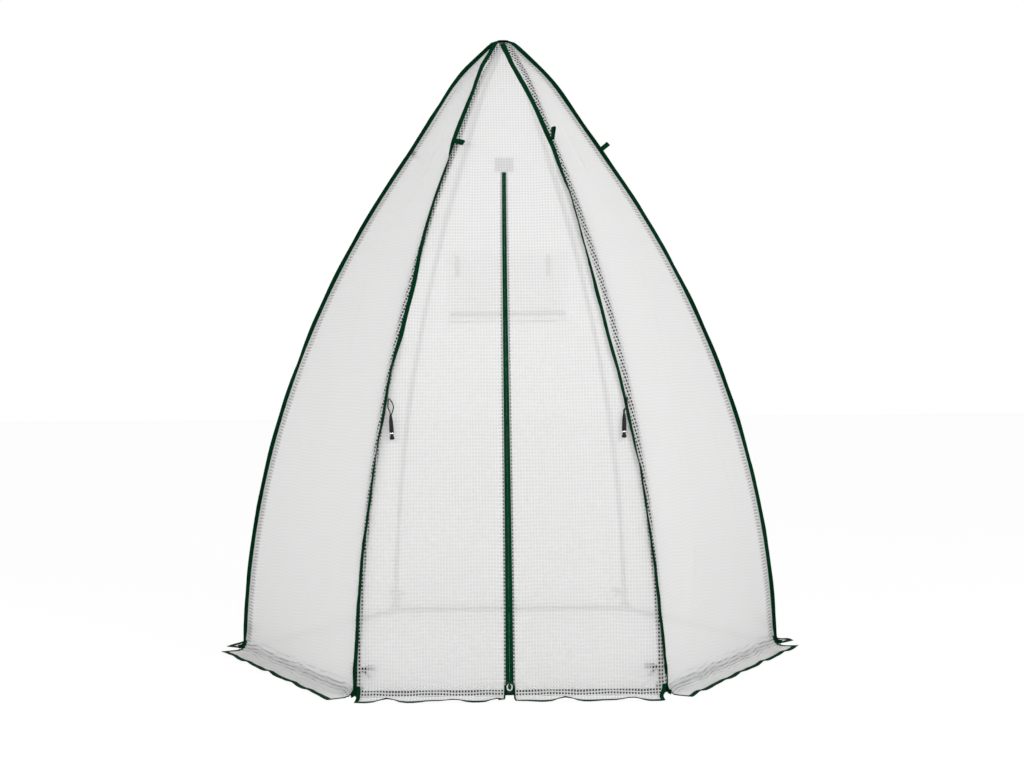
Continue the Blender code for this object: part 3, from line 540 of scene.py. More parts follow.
# %% How the cover has settled
FRONT_CREEP = 0.005
TOP_CREEP = 0.012
CREEP_FROM, CREEP_FULL = 0.2, 1.5
TOP_FROM, TOP_FULL = 1.6, 2.0
PROFILE_RUNS = np.linspace(0.0, CROWN_END, 400)
PROFILE_APOTHEMS, PROFILE_HEIGHTS, _ = side_at(PROFILE_RUNS)


def smooth(value):
    value = np.clip(value, 0.0, 1.0)
    return value * value * (3 - 2 * value)


def below(value, limit, ease):
    """1 for values well below a limit, falling to 0 over the last stretch before it."""
    return smooth((limit - value) / ease)


def settle(places):
    """Moves places on the cover to where it has crept to."""
    x, y, z = places[..., 0], places[..., 1], places[..., 2]
    corner = np.interp(z, PROFILE_HEIGHTS, PROFILE_APOTHEMS) / cos(HALF_ANGLE) + 0.004
    share = np.clip(x / corner, -1.0, 1.0)
    front = smooth(-4 * y / corner) * np.maximum(0.0, 1 - 4 * share ** 2)
    creep = FRONT_CREEP * front * smooth((z - CREEP_FROM) / (CREEP_FULL - CREEP_FROM))
    top = TOP_CREEP * np.clip(0.5 - share, 0.0, 1.0)
    top = top * smooth((z - TOP_FROM) / (TOP_FULL - TOP_FROM))
    return places - (creep + top)[..., None] * ACROSS


print("the top has crept", round(1000 * (FRONT_CREEP + TOP_CREEP / 2), 1), "mm to the left")

# %% [markdown]
# Stretched film is never quite flat. It draws in a little between the ribs, and pulls
# into long soft creases that run from the seams. A fold is a low ridge along a line
# across the side, and a few slow waves lie under them.

# %% Creases in the film
RIB_CLEAR = 0.020
EASE = 0.10


def fold(across, run, start, end, width, height):
    """A ridge along the line from start to end, each (across, run) in metres."""
    start, end = np.array(start), np.array(end)
    length = np.linalg.norm(end - start)
    along = (end - start) / length
    dx, dy = across - start[0], run - start[1]
    share = (dx * along[0] + dy * along[1]) / length
    off = -dx * along[1] + dy * along[0]
    return height * np.exp(-(off / width) ** 2) * smooth(share * 4) * smooth((1 - share) * 4)


DRAWN_IN = 0.004
WAVES = ((0.0012, 9.0, 5.0, 1.0), (0.0010, -14.0, 7.0, 2.1), (0.0005, 23.0, 3.0, -1.0))
FOLDS = {
    "front": (
        ((-0.283, 1.02), (-0.262, 1.42), 0.013, 0.005),
        ((-0.25, 0.25), (-0.18, 0.85), 0.022, 0.003),
        ((0.27, 0.10), (0.16, 0.62), 0.020, 0.003),
        ((0.10, 1.20), (0.15, 1.75), 0.014, 0.002),
        ((-0.12, 1.35), (-0.07, 1.9), 0.014, -0.002)),
    "left_front": (
        ((0.02, 0.98), (-0.05, 1.30), 0.012, 0.005),
        ((0.10, 0.60), (0.05, 1.15), 0.018, 0.004),
        ((-0.22, 0.45), (-0.12, 0.95), 0.016, 0.004),
        ((0.28, 0.18), (0.10, 0.50), 0.022, 0.004),
        ((0.05, 1.45), (0.02, 1.95), 0.010, 0.003)),
    "right_front": (
        ((-0.06, 0.92), (0.02, 1.35), 0.012, 0.005),
        ((-0.16, 0.55), (-0.05, 1.05), 0.018, 0.004),
        ((0.24, 0.40), (0.12, 0.92), 0.016, 0.004),
        ((-0.26, 0.15), (-0.12, 0.46), 0.022, 0.004),
        ((-0.04, 1.50), (-0.02, 1.95), 0.010, 0.003)),
}



def creases(side, across, run):
    """How far the film stands out of its plain shape."""
    width = half_width(run)
    inside = smooth((width - np.abs(across) - RIB_CLEAR) / EASE) * smooth(run / 0.25)
    inside = inside * smooth((SHOULDER_START - run) / 0.3)
    total = sum(high * np.sin(aside * across + upward * run + late * (1.7 * side))
                for high, aside, upward, late in WAVES) - DRAWN_IN
    for start, end, wide, high in FOLDS.get(SIDE_NAMES[side], ()):
        total = total + fold(across, run, start, end, wide, high)
    return total * inside


def on_film(side, across, runs, lift):
    """Places lifted off a side's film, where it has settled, creases and all."""
    place, normal = side_point(side, across, runs)
    out = creases(side, across, runs) + lift
    return settle(place + np.asarray(out)[..., None] * normal)


print("drawn folds:", sum(len(f) for f in FOLDS.values()))

# %% [markdown]
# At the ground the film turns outwards into a skirt, which is weighed down with soil in
# use. It has its own wavy bend and a hem that lifts here and there, and it is cut at the
# corners and under the zip.

# %% The skirt's shape
SKIRT_START = 0.060
SKIRT_WIDTH = 0.088
SKIRT_GAP = 0.004
GROUND = 0.0020
BEND_STEPS = 26
HEM_STEPS = 8
BEND_REACH = 0.030
CREASE_PITCH = 0.0145
CREASE_HEIGHT = 0.0034
# How far up a crease's sides the painted shade reaches, as a share of its swell
CREASE_SHADE_REACH = 0.50
FLARE = 0.012
FRONT_LIFT, PLAIN_LIFT = 0.015, 0.007


def wave(side, across, pitch, shift):
    """A wave from 0 to 1 along the foot of a side."""
    angle = 2 * pi * across / pitch + shift + 1.3 * side
    return 0.5 + 0.32 * np.sin(angle) + 0.18 * np.sin(1.7 * angle + 0.8)


def skirt_profile(side, across):
    """Out and up places of the skirt, from the wall down and out to its hem."""
    foot = side_at(run_at(SKIRT_START))[0]
    start = float(foot) - FOOT_APOTHEM
    flare = FLARE * wave(side, across, 0.23, 0.4)
    lift = (PLAIN_LIFT if side else FRONT_LIFT) * wave(side, across, 0.17, 2.0) ** 2
    drift = 2.2 * wave(side, across, 0.31, 1.0) + 1.1 * wave(side, across, 0.12, 0.0)
    rows = []
    for step in range(1, BEND_STEPS + 1):
        t = step / BEND_STEPS
        out = (start * (1 - t) ** 3 + 3 * 0.3 * flare * t * (1 - t) ** 2
               + 3 * flare * t ** 2 * (1 - t) + (flare + BEND_REACH) * t ** 3)
        up = (SKIRT_START * (1 - t) ** 3 + 3 * 0.30 * SKIRT_START * t * (1 - t) ** 2
              + GROUND * (3 * t ** 2 * (1 - t) + t ** 3))
        swell = abs(np.sin(pi * t * (SKIRT_START + BEND_REACH) / CREASE_PITCH + drift))
        fade = smooth(4 * t - 0.6) * smooth(4 - 4 * t) * (side != 0)
        crease = CREASE_HEIGHT * (swell - 0.5) * fade
        # Painted shade: 1 in the valleys of the creases, fading up their sides
        crease_shade_share = smooth(1 - swell / CREASE_SHADE_REACH) * fade
        rows.append((out + 0.7 * crease, np.maximum(up + 0.7 * crease, GROUND), crease_shade_share))
    for step in range(1, HEM_STEPS + 1):
        t = step / HEM_STEPS
        out = (flare + BEND_REACH) * (1 - t) + SKIRT_WIDTH * t
        rows.append((out, GROUND + lift * t ** 1.6, 0.0 * across))
    return rows


print("skirt:", round(1000 * SKIRT_WIDTH), "mm wide")

# %% [markdown]
# A sheet starts as a flat grid from Blender's own operator, which already has its faces
# in order, and its corners are then moved to the film's shape. Its UV map holds real
# metres, so the net never stretches. Most pieces ride on a body, and the solids that they
# stand for are hidden.

# %% Sheets from grids
FIXED = "cover_and_frame"


def belongs(piece, body, *solids):
    """Rides a piece on a body, and hides the solids that it stands for."""
    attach(piece, body)
    if solids:
        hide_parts(*solids)
    return piece


def select_only(*pieces):
    bpy.ops.object.select_all(action="DESELECT")
    for piece in pieces:
        piece.select_set(True)
    bpy.context.view_layer.objects.active = pieces[0]


def rename(piece, name):
    piece.name = piece.data.name = name


def move_corners(mesh, places):
    mesh.vertices.foreach_set("co", places.reshape(-1).astype(np.float32))


def give_measure(mesh, measure):
    """Writes each corner's measure, in metres, into the UV map."""
    uv = mesh.uv_layers.active
    uv.name = "metres"
    corners = np.empty(len(mesh.loops), dtype=np.int32)
    mesh.loops.foreach_get("vertex_index", corners)
    uv.data.foreach_set("uv", measure[corners].reshape(-1).astype(np.float32))


def grid_piece(name, places, measure, look, marks=None):
    """A sheet with one corner for each of places[row, column]."""
    rows, columns = places.shape[:2]
    bpy.ops.mesh.primitive_grid_add(x_subdivisions=columns - 1, y_subdivisions=rows - 1, size=1.0)
    piece = bpy.context.object
    rename(piece, name)
    mesh = piece.data
    move_corners(mesh, places)
    give_measure(mesh, measure.reshape(-1, 2))
    for title, values in (marks or {}).items():
        made = mesh.attributes.new(title, "FLOAT", "POINT")
        made.data.foreach_set("value", values.reshape(-1).astype(np.float32))
    mesh.update()
    bpy.ops.object.shade_smooth()
    paint(piece, look)
    return piece


def sheet_area(piece):
    return sum(face.area for face in piece.data.polygons)


print("grid tool ready")

# %% [markdown]
# A side of the cover is one sheet from the skirt's hem to the cap: columns round the left
# rib, columns across the flat, columns round the right rib. The front is made as two
# halves that meet at the zip.

# %% Film sides
ROW_STEP = 0.014
FLAT_COLUMNS = 44
CORNER_COLUMNS = 12
MARGIN_SHARE, ZONE_SHARE = 0.7, 0.6
LINE_SHARE, LINE_EASE = 0.86, 0.35
HANDS = {"left": -1, "right": 1}
ZIP_TOP_RUN = float(run_at(1.552))
ZIP_EASE = 0.004
ZIP_EDGE_TOP, ZIP_EDGE_FOOT = 0.0057, 0.0112
NOTCH_EDGE, NOTCH_HEM = 0.0125, 0.017
TUBE_TOUCH_NEAR, TUBE_TOUCH_FAR = 0.008, 0.018
OUTER_TOUCH, OUTER_TOUCH_NEAR, OUTER_TOUCH_FAR = 0.66, 0.013, 0.046
BASE_TOUCH = 0.030
BASE_TUBE_HEIGHT = 0.010
TUBE_SHOWS = (0.0225, 0.040)
TUBE_FAINT = 0.12
ZIP_TOUCH, ZIP_SHOWS = 0.75, 0.0075
TIE_HEIGHT = 0.078
TIE_SHOWS = (0.018, 0.040)
SLOW_WAVER, SLOW_PITCH = 0.0042, 0.175
QUICK_WAVER, QUICK_PITCH = 0.0011, 0.061
FRONT_WAVER = 0.45


def zip_edge(run):
    """How far from the middle the front film stops, beside the zip."""
    share = np.clip((ZIP_TOP_RUN - run) / ZIP_TOP_RUN, 0.0, 1.0)
    edge = ZIP_EDGE_TOP + (ZIP_EDGE_FOOT - ZIP_EDGE_TOP) * share
    return edge * below(run, ZIP_TOP_RUN + ZIP_EASE, ZIP_EASE)


def wall_runs(extra=()):
    low = float(run_at(SKIRT_START))
    high = CROWN_END - CROWN_HOLE
    count = int((high - low) / ROW_STEP)
    runs = set(np.linspace(low, high, count).round(5))
    for reading in extra:
        runs = {run for run in runs if abs(run - reading) > ROW_STEP / 3} | {reading}
    return np.array(sorted(runs))


def keep_columns(shares, reach, runs, place, low, high):
    """Moves the columns so that two of them run straight at -place and place, from low to high."""
    inner = place / float(np.interp((low + high) / 2, runs, reach))
    inner = float(shares[np.argmin(np.abs(shares - inner))])
    line = np.minimum(place, LINE_SHARE * reach)[:, None]
    far = np.abs(shares)
    beyond = line + (far - inner) / (1 - inner) * (reach[:, None] - line)
    kept = np.where(far <= inner, far / inner * line, beyond)
    past = np.maximum(np.maximum(low - runs, runs - high), 0.0)
    near = smooth(1 - past / LINE_EASE)[:, None]
    plain = shares * reach[:, None]
    return plain + near * (np.sign(shares) * kept - plain)


def flat_columns(runs, part, opening):
    """Across places of the flat columns at each row, for a whole side or a half."""
    width = half_width(runs)
    reach = width - np.minimum(FLAT_MARGIN, MARGIN_SHARE * width)
    if opening:
        return keep_columns(np.linspace(-1.0, 1.0, FLAT_COLUMNS), reach, runs, *opening)
    low = zip_edge(runs) if part == "right" else -reach
    high = -zip_edge(runs) if part == "left" else reach
    count = FLAT_COLUMNS // 2 if part in HANDS else FLAT_COLUMNS
    return low[:, None] + (high - low)[:, None] * np.linspace(0.0, 1.0, count)


def contact_mark(side, across, run, from_rib):
    """1 where something lies right behind the film, falling to 0 away from it."""
    rib = below(from_rib, TUBE_TOUCH_FAR, TUBE_TOUCH_FAR - TUBE_TOUCH_NEAR)
    base = below(run, BASE_TOUCH, 0.010)
    mark = np.maximum(rib, base)
    if side in (1, 5):
        # Beside the outer ribs the film is drawn on to the tube's inner side as well
        outer = (across > 0) == (side == 1)
        strokes = smooth((from_rib - OUTER_TOUCH_NEAR) / 0.006)
        strokes = strokes * below(from_rib, OUTER_TOUCH_FAR, 0.010)
        mark = np.where(outer, np.maximum(OUTER_TOUCH * strokes, base), mark)
    if side in (5, 0, 1):
        # The tied strap inside a front foot is pulled up against the film
        tie = below(np.abs(run - TIE_HEIGHT), TIE_SHOWS[0], 0.006)
        tie = tie * below(from_rib, TIE_SHOWS[1], 0.008)
        near_front = side == 0 or (across > 0) == (side == 5)
        mark = np.maximum(mark, tie * near_front)
    if side == 0:
        zipped = below(np.abs(across), zip_edge(run) + ZIP_SHOWS, 0.003)
        zipped = zipped * below(run, ZIP_TOP_RUN + ZIP_EASE, ZIP_EASE)
        mark = np.maximum(mark, ZIP_TOUCH * zipped)
    return mark


def row_waver(side, across, run):
    """How far the net's rows rise and fall, as they do where film is drawn in unevenly."""
    slow = SLOW_WAVER * np.sin(2 * pi * across / SLOW_PITCH + 3.1 * run + 1.9 * side)
    quick = QUICK_WAVER * np.sin(2 * pi * across / QUICK_PITCH - 9.0 * run + side)
    waver = slow * (0.35 + 0.65 * smooth(1 - run)) + quick
    return waver * (1.0 if side else FRONT_WAVER)


def film_places(side, part, opening):
    """Places, measure and marks of one side of the cover, rows from hem to cap."""
    runs = wall_runs(opening[1:] if opening else ())
    flat = flat_columns(runs, part, opening)
    up = np.broadcast_to(runs[:, None], flat.shape)
    place, normal = side_point(side, flat, up)
    place = place + creases(side, flat, runs[:, None])[..., None] * normal
    blocks = [(place, np.stack([flat, up], -1), half_width(runs)[:, None] - np.abs(flat))]
    for hand, rib in ((-1, side), (1, side + 1)):
        if HANDS.get(part) == -hand:
            continue
        seam = seam_slip(rib, runs)[:, None]
        inner = -hand * np.minimum(CORNER_ZONE, ZONE_SHARE * half_width(runs))[:, None]
        first, last = (seam, inner) if hand < 0 else (inner, seam)
        q = first + (last - first) * np.linspace(0.0, 1.0, CORNER_COLUMNS)
        block = (corner_point(rib % SIDES, runs[:, None], q)[0],
                 np.stack(corner_measure(runs[:, None], q, hand), -1), np.abs(q))
        blocks = [block] + blocks if hand < 0 else blocks + [block]
    places, measure, from_rib = (np.concatenate(kind, axis=1) for kind in zip(*blocks))
    across, run = measure[..., 0], measure[..., 1].copy()
    mark = contact_mark(side, across, run, from_rib)
    measure[..., 1] += row_waver(side, across, run)
    return add_skirt(side, part, settle(places), measure, mark)


def add_skirt(side, part, places, measure, mark):
    """Puts the skirt's rows below the wall's, each column carrying on downwards."""
    across = measure[0, :, 0]
    foot_width = FOOT_APOTHEM * tan(HALF_ANGLE) - SKIRT_GAP
    low = NOTCH_EDGE if part == "right" else -foot_width
    high = -NOTCH_EDGE if part == "left" else foot_width
    settled = low + (across - across[0]) / (across[-1] - across[0]) * (high - low)
    out, right = side_ways(side)
    last, drop = places[0], measure[0, :, 1]
    rows = []
    for number, (reach, up, crease_shade_share) in enumerate(skirt_profile(side, settled), 1):
        share = float(smooth(number / BEND_STEPS))
        sideways = across + (settled - across) * share
        if part in HANDS and number > BEND_STEPS:
            hem = (number - BEND_STEPS) / HEM_STEPS * (NOTCH_HEM - NOTCH_EDGE)
            near = smooth(1 - np.abs(np.abs(settled) - NOTCH_EDGE) / 0.05)
            sideways = sideways + HANDS[part] * hem * near
        row = (FOOT_APOTHEM + reach)[:, None] * out + sideways[:, None] * right + up[:, None] * UP
        if number < BEND_STEPS:
            row = last + (row - last) * (0.35 + 0.65 * share)
        drop = drop - np.linalg.norm(row - last, axis=1)
        behind = (below(np.abs(row[:, 2] - BASE_TUBE_HEIGHT), TUBE_SHOWS[0], 0.010)
                  * below(reach, TUBE_SHOWS[1], 0.015) * (TUBE_FAINT if side else 1.0))
        shown = np.maximum(behind, mark[0] * (1 - share))
        # Each row carries its share of the painted crease shade
        rows.append((row, np.stack([sideways, drop], -1), shown, crease_shade_share))
        last = row
    skirt = (np.array(kind[::-1]) for kind in zip(*rows))
    wall = (places, measure, mark, 0.0 * mark)
    places, measure, mark, crease_shade = (np.concatenate(pair) for pair in zip(skirt, wall))
    return places, measure, {"contact": mark, "crease_shade": crease_shade}


film = {}
edges = {}


def film_side(side, part=None, opening=None, look=FILM):
    """Makes a side or a half of one, and gives its measure."""
    key = part or side
    name = f"film_{SIDE_NAMES[side]}" + (f"_{part}" if part else "")
    edges[key], measure, marks = film_places(side, part, opening)
    film[key] = grid_piece(name, edges[key], measure, look, marks)
    return measure


for side in (1, 2, 4, 5):
    film_side(side, look=HAZIER_SHADED_FILM)
    belongs(film[side], FIXED, f"{SIDE_NAMES[side]}_panel")
print("film sides:", len(film), "corners in each:", len(film[1].data.vertices))

# %% [markdown]
# The back side has a window, cut out along the rows and columns of the same grid. So the
# columns beside it are first drawn straight, and then the faces inside are deleted.

# %% The back side and its window
WINDOW_HALF = 0.20
WINDOW_LOW = float(run_at(1.125))
WINDOW_HIGH = WINDOW_LOW + 0.235


def cut_window(piece, measure):
    """Deletes the faces inside the window's edges."""
    select_only(piece)
    bpy.ops.object.mode_set(mode="EDIT")
    bpy.ops.mesh.select_mode(type="FACE")
    bpy.ops.mesh.select_all(action="DESELECT")
    bpy.ops.object.mode_set(mode="OBJECT")
    flat = measure.reshape(-1, 2)
    for face in piece.data.polygons:
        across, run = flat[list(face.vertices)].mean(axis=0)
        face.select = bool(abs(across) < WINDOW_HALF and WINDOW_LOW < run < WINDOW_HIGH)
    bpy.ops.object.mode_set(mode="EDIT")
    bpy.ops.mesh.delete(type="FACE")
    bpy.ops.object.mode_set(mode="OBJECT")


measure = film_side(3, opening=(WINDOW_HALF, WINDOW_LOW, WINDOW_HIGH))
cut_window(film[3], measure)
belongs(film[3], FIXED, "back_panel")
print("back film faces:", len(film[3].data.polygons))

# %% [markdown]
# The front is one side made as two halves that meet at the zip. The line where the door
# half on each side folds is worked out, but the halves are not bent along it and stay on
# the cover as they were made.

# %% The front halves
FOLD_FOOT_ACROSS = 0.43
FOLD_HEIGHT = 1.35


def follow_door(piece, part):
    """Works out the fold line of the door half on a piece's side, and bakes the piece's place into
    its mesh; the piece is not bent.
    """
    hand = HANDS[part]
    foot = Vector((hand * FOLD_FOOT_ACROSS, -FOOT_APOTHEM, 0.0))
    apothem = float(side_at(run_at(FOLD_HEIGHT))[0])
    line = (Vector((0.0, -apothem, FOLD_HEIGHT)) - foot).normalized()
    inward = Vector((-hand, 0.0, 0.0))
    inward = (inward - line * inward.dot(line)).normalized()
    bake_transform(piece)


for part in HANDS:
    film_side(0, part)
    follow_door(film[part], part)
    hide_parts(f"{part}_door_flap", f"{part}_door_fold")
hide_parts("front_panel")
print("front halves:", len(film["left"].data.polygons) * 2, "faces")

# %% [markdown]
# Bindings, hems, straps and cords are all one profile carried along a path. The skin of
# such a piece is the same grid rolled into a tube: its two long edges meet, are merged,
# and the holes at its ends are filled. That keeps its UV map in metres as well.

# %% Profiles carried along a path
def unit(vectors):
    return vectors / np.linalg.norm(vectors, axis=-1, keepdims=True)


def path_measure(path):
    """Distance along a path at each of its places."""
    steps = np.linalg.norm(np.diff(path, axis=0), axis=1)
    return np.concatenate([[0.0], np.cumsum(steps)])


def loft(name, rings, around, along, look):
    """A closed skin over rings[row, point]; around and along are its measures."""
    rolled = np.concatenate([rings, rings[:, :1]], axis=1)
    measure = np.stack(np.broadcast_arrays(np.append(around, around[0]), along[:, None]), -1)
    piece = grid_piece(name, rolled, measure, look)
    bpy.ops.object.mode_set(mode="EDIT")
    bpy.ops.mesh.select_all(action="SELECT")
    bpy.ops.mesh.remove_doubles(threshold=0.000001)
    bpy.ops.mesh.fill_holes(sides=0)
    bpy.ops.mesh.normals_make_consistent(inside=False)
    bpy.ops.object.mode_set(mode="OBJECT")
    bpy.ops.object.shade_smooth_by_angle(angle=radians(50))
    return piece


def carry(name, path, width_way, section, look, widths=1.0, closed=False):
    """Carries a section of (across, out) places along a path; width_way points across it."""
    path = np.asarray(path, float)
    if closed:
        ahead, back = np.roll(path[:-1], -1, axis=0), np.roll(path[:-1], 1, axis=0)
        tangent = unit(np.concatenate([ahead - back, (ahead - back)[:1]]))
    else:
        tangent = unit(np.gradient(path, axis=0))
    across = np.broadcast_to(np.asarray(width_way, float), path.shape)
    across = unit(across - np.sum(across * tangent, axis=1, keepdims=True) * tangent)
    out = np.cross(tangent, across)
    wide = np.broadcast_to(widths, len(path))[:, None, None]
    rings = path[:, None] + section[:, :1] * across[:, None] * wide + section[:, 1:] * out[:, None]
    return loft(name, rings, path_measure(section), path_measure(path), look)


def band(width, thick):
    """A flat band's section with softened edges."""
    w, t, c = width / 2, thick / 2, thick * 0.3
    return np.array([(-w + c, t), (w - c, t), (w, t - c), (w, c - t), (w - c, -t), (c - w, -t),
                     (-w, c - t), (-w, t - c)])


def disc(radius, count=12):
    turns = 2 * pi * np.arange(count) / count
    return radius * np.stack([np.cos(turns), np.sin(turns)], -1)


def join_pieces(pieces, name):
    """Joins finished pieces into the first of them."""
    select_only(*pieces)
    bpy.ops.object.join()
    rename(pieces[0], name)
    return pieces[0]


print("profile tools ready")

# %% [markdown]
# The binding is a 27 mm tape folded over the raw edges of two sides and sewn, so it
# stands up from the seam like a fin about 13 mm high. It is stiff in its own plane but
# limp across it, so it leans and wavers. At the ground it follows the bend of the skirt.

# %% Seam bindings
BINDING_WIDTH = 0.0135
BINDING_THICK = 0.0017
BINDING_STEP = 0.018
BINDING_FOOT_STEPS = 8
FOOT_REACH = (0.004, 0.028)
FOOT_STOP = 0.0035
BINDING_TOP_WIDTH = 0.007
BINDING_TAPER = 0.03
FOLDED_TAPE = np.array([(0.0, 0.5), (0.45, 0.5), (0.85, 0.48), (0.96, 0.36), (1.0, 0.0),
                        (0.96, -0.36), (0.85, -0.48), (0.45, -0.5), (0.0, -0.5)])


def binding_rows(rib):
    """Root, outward and sideways directions of a binding up the wall."""
    low = float(run_at(SKIRT_START))
    high = CROWN_END - CROWN_HOLE - 0.002
    runs = np.linspace(low, high, int((high - low) / BINDING_STEP))
    root, normal = corner_point(rib, runs, seam_slip(rib, runs))
    rise = corner_frame(rib, runs)[1]
    aside = np.cross(rise, normal)
    out, _ = turned(normal, aside, np.asarray(binding_lean(rib, runs)))
    return runs, root, out, unit(np.cross(rise, out))


def binding_foot(root, out, rib):
    """The last rows of a binding, from its foot on the wall out along the ground."""
    radial = direction(rib_angle(rib))
    steps = np.arange(1, BINDING_FOOT_STEPS + 1)[:, None] / BINDING_FOOT_STEPS
    reach = FOOT_REACH[0] * 3 * steps ** 2 * (1 - steps) + FOOT_REACH[1] * steps ** 3
    drop = (SKIRT_START - FOOT_STOP) * (1 - (1 - steps) ** 2.2)
    rows = root + reach * radial - drop * UP
    turned = unit(out * (1 - 0.7 * steps) + 0.9 * steps * UP)
    travel = unit(np.gradient(np.concatenate([[root], rows]), axis=0)[1:])
    return rows[::-1], turned[::-1], unit(np.cross(turned, travel))[::-1]


def seam_binding(rib):
    runs, root, out, side = binding_rows(rib)
    foot_root, foot_out, foot_side = binding_foot(root[0], out[0], rib)
    if foot_side[-1] @ side[0] < 0:
        foot_side = -foot_side
    root = np.concatenate([foot_root, root])
    out = np.concatenate([foot_out, out])
    side = np.concatenate([foot_side, side])
    along = path_measure(root)
    runs = np.concatenate([np.zeros(BINDING_FOOT_STEPS), runs])
    crown = smooth((runs - CROWN_START + 0.01) / BINDING_TAPER)
    width = BINDING_WIDTH * (1 + 0.05 * np.sin(31 * along + rib)) * (1 - crown)
    width = width + BINDING_TOP_WIDTH * crown
    waver = 0.0006 * np.sin(64 * along + 2 * rib) + 0.0004 * np.sin(151 * along)
    depth = FOLDED_TAPE[None, :, 0] * width[:, None]
    across = FOLDED_TAPE[None, :, 1] * BINDING_THICK + waver[:, None] * FOLDED_TAPE[None, :, 0]
    rings = root[:, None] + depth[..., None] * out[:, None] + across[..., None] * side[:, None]
    name = f"binding_{RIB_NAMES[rib]}"
    made = loft(name, settle(rings), FOLDED_TAPE[:, 0] * BINDING_WIDTH, along, GREEN_TAPE)
    return belongs(made, FIXED)


bindings = [seam_binding(rib) for rib in range(SIDES)]
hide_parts("seam_bindings")
print("bindings:", len(bindings), "faces in each:", len(bindings[0].data.polygons))

# %% [markdown]
# Where the six bindings meet, a round cap of the same tape covers their ends. A disc of
# faces is inset and lifted ring by ring into a low dome, then given its thickness.

# %% Cap at the top
CAP_RADIUS = 0.0155
CAP_RINGS = ((0.0022, 0.0016), (0.0035, 0.0011), (0.0045, 0.0006))
CAP_THICK = 0.0012
CAP_RISE = 0.0030
CAP_FACETS = 40


def new_disc(name, facets, radius, height):
    bpy.ops.mesh.primitive_circle_add(vertices=facets, radius=radius, fill_type="NGON",
                                      location=(0.0, 0.0, height))
    made = bpy.context.object
    made.name = name
    bpy.ops.object.transform_apply(location=True)
    return made


def top_cap():
    cap = new_disc("top_cap", CAP_FACETS, CAP_RADIUS, float(PROFILE_HEIGHTS[-1]) + CAP_RISE)
    bpy.ops.object.mode_set(mode="EDIT")
    bpy.ops.mesh.select_all(action="SELECT")
    for inset, lift in CAP_RINGS:
        bpy.ops.mesh.inset(thickness=inset)
        bpy.ops.transform.translate(value=(0.0, 0.0, lift))
    bpy.ops.object.mode_set(mode="OBJECT")
    wall = cap.modifiers.new("wall", "SOLIDIFY")
    wall.thickness = CAP_THICK
    bpy.ops.object.modifier_apply(modifier="wall")
    bpy.ops.object.shade_smooth_by_angle(angle=radians(50))
    places = np.array([corner.co for corner in cap.data.vertices])
    give_measure(cap.data, places[:, :2])
    move_corners(cap.data, settle(places))
    paint(cap, GREEN_TAPE)
    return belongs(cap, FIXED)


print("cap faces:", len(top_cap().data.polygons))

# %% [markdown]
# The free edges of each skirt are bound with the same tape, folded over the edge. Its
# path runs down one side edge, along the hem and up the other side edge, and at each
# corner the two directions add up to a mitre.

# %% Hem tapes
HEM_WIDTH = 0.015
HEM_THICK = 0.0024
HEM_CLIMB = HEM_STEPS + BEND_STEPS - 8
THIN_SHARE = 0.28
THIN_ENDS = {5: (1.0, THIN_SHARE), 1: (THIN_SHARE, 1.0),
             "left": (0.7, THIN_SHARE), "right": (THIN_SHARE, 0.7)}
HEM_SECTION = np.array([(1.0, 0.5), (0.5, 0.5), (0.1, 0.46), (0.0, 0.3), (-0.07, 0.0),
                        (0.0, -0.3), (0.1, -0.46), (0.5, -0.5), (1.0, -0.5)])


def hem_path(places):
    """Places along a skirt's free edges, and the directions inward from them."""
    edge = unit(places[:, 4] - places[:, 0])
    far_edge = unit(places[:, -5] - places[:, -1])
    hem = unit(places[3] - places[0])
    hem[0], hem[-1] = hem[0] + edge[0], hem[-1] + far_edge[0]
    path = np.concatenate([places[HEM_CLIMB:0:-1, 0], places[0], places[1:HEM_CLIMB + 1, -1]])
    inward = np.concatenate([edge[HEM_CLIMB:0:-1], hem, far_edge[1:HEM_CLIMB + 1]])
    return path, inward


def hem_tape(name, key):
    path, inward = hem_path(edges[key])
    ends = THIN_ENDS.get(key, (1.0, 1.0))
    tangent = unit(np.gradient(path, axis=0))
    out = unit(np.cross(tangent, inward))
    out = out * np.sign(out[len(out) // 2, 2])
    along = path_measure(path)
    wide = HEM_WIDTH * (1 + 0.06 * np.sin(47 * along))
    wide[:HEM_CLIMB] *= ends[0]
    wide[-HEM_CLIMB:] *= ends[1]
    depth = HEM_SECTION[None, :, 0] * wide[:, None]
    rings = path[:, None] + depth[..., None] * inward[:, None]
    rings = rings + HEM_SECTION[:, 1:] * HEM_THICK * out[:, None]
    return loft(f"hem_{name}", rings, HEM_SECTION[:, 0] * HEM_WIDTH, along, GREEN_TAPE)


hems = {side: belongs(hem_tape(SIDE_NAMES[side], side), FIXED) for side in range(1, SIDES)}
for part in HANDS:
    hems[part] = hem_tape(f"front_{part}", part)
    follow_door(hems[part], part)
print("hem tapes:", len(hems))

# %% [markdown]
# Each side is cut from one flat piece, as wide as its foot and as long as the tape measure
# reads from the hem to the top. Here the film's area is added up over the sides.

# %% The sides as sheets
CUT_WIDTH = 0.885


def stretched_side(key, width, *ribs):
    area = sheet_area(film[key])
    return area


areas = [stretched_side(side, CUT_WIDTH, RIB_NAMES[side], RIB_NAMES[(side + 1) % SIDES])
         for side in range(1, SIDES)]
areas += [stretched_side(part, CUT_WIDTH / 2, f"front_{part}") for part in HANDS]
print("film used:", round(sum(areas), 2), "square metres")

# %% [markdown]
# A zip is two woven tapes with a nylon coil sewn along each facing edge. On covers like
# this one the coil is turned to the inside, so only two plain tapes show. They lie behind
# the film, and the film's cut edges frame a dark band that is 11 mm wide at the top and
# 22 mm at the foot. The coil's turns are drawn a little coarser than real ones.

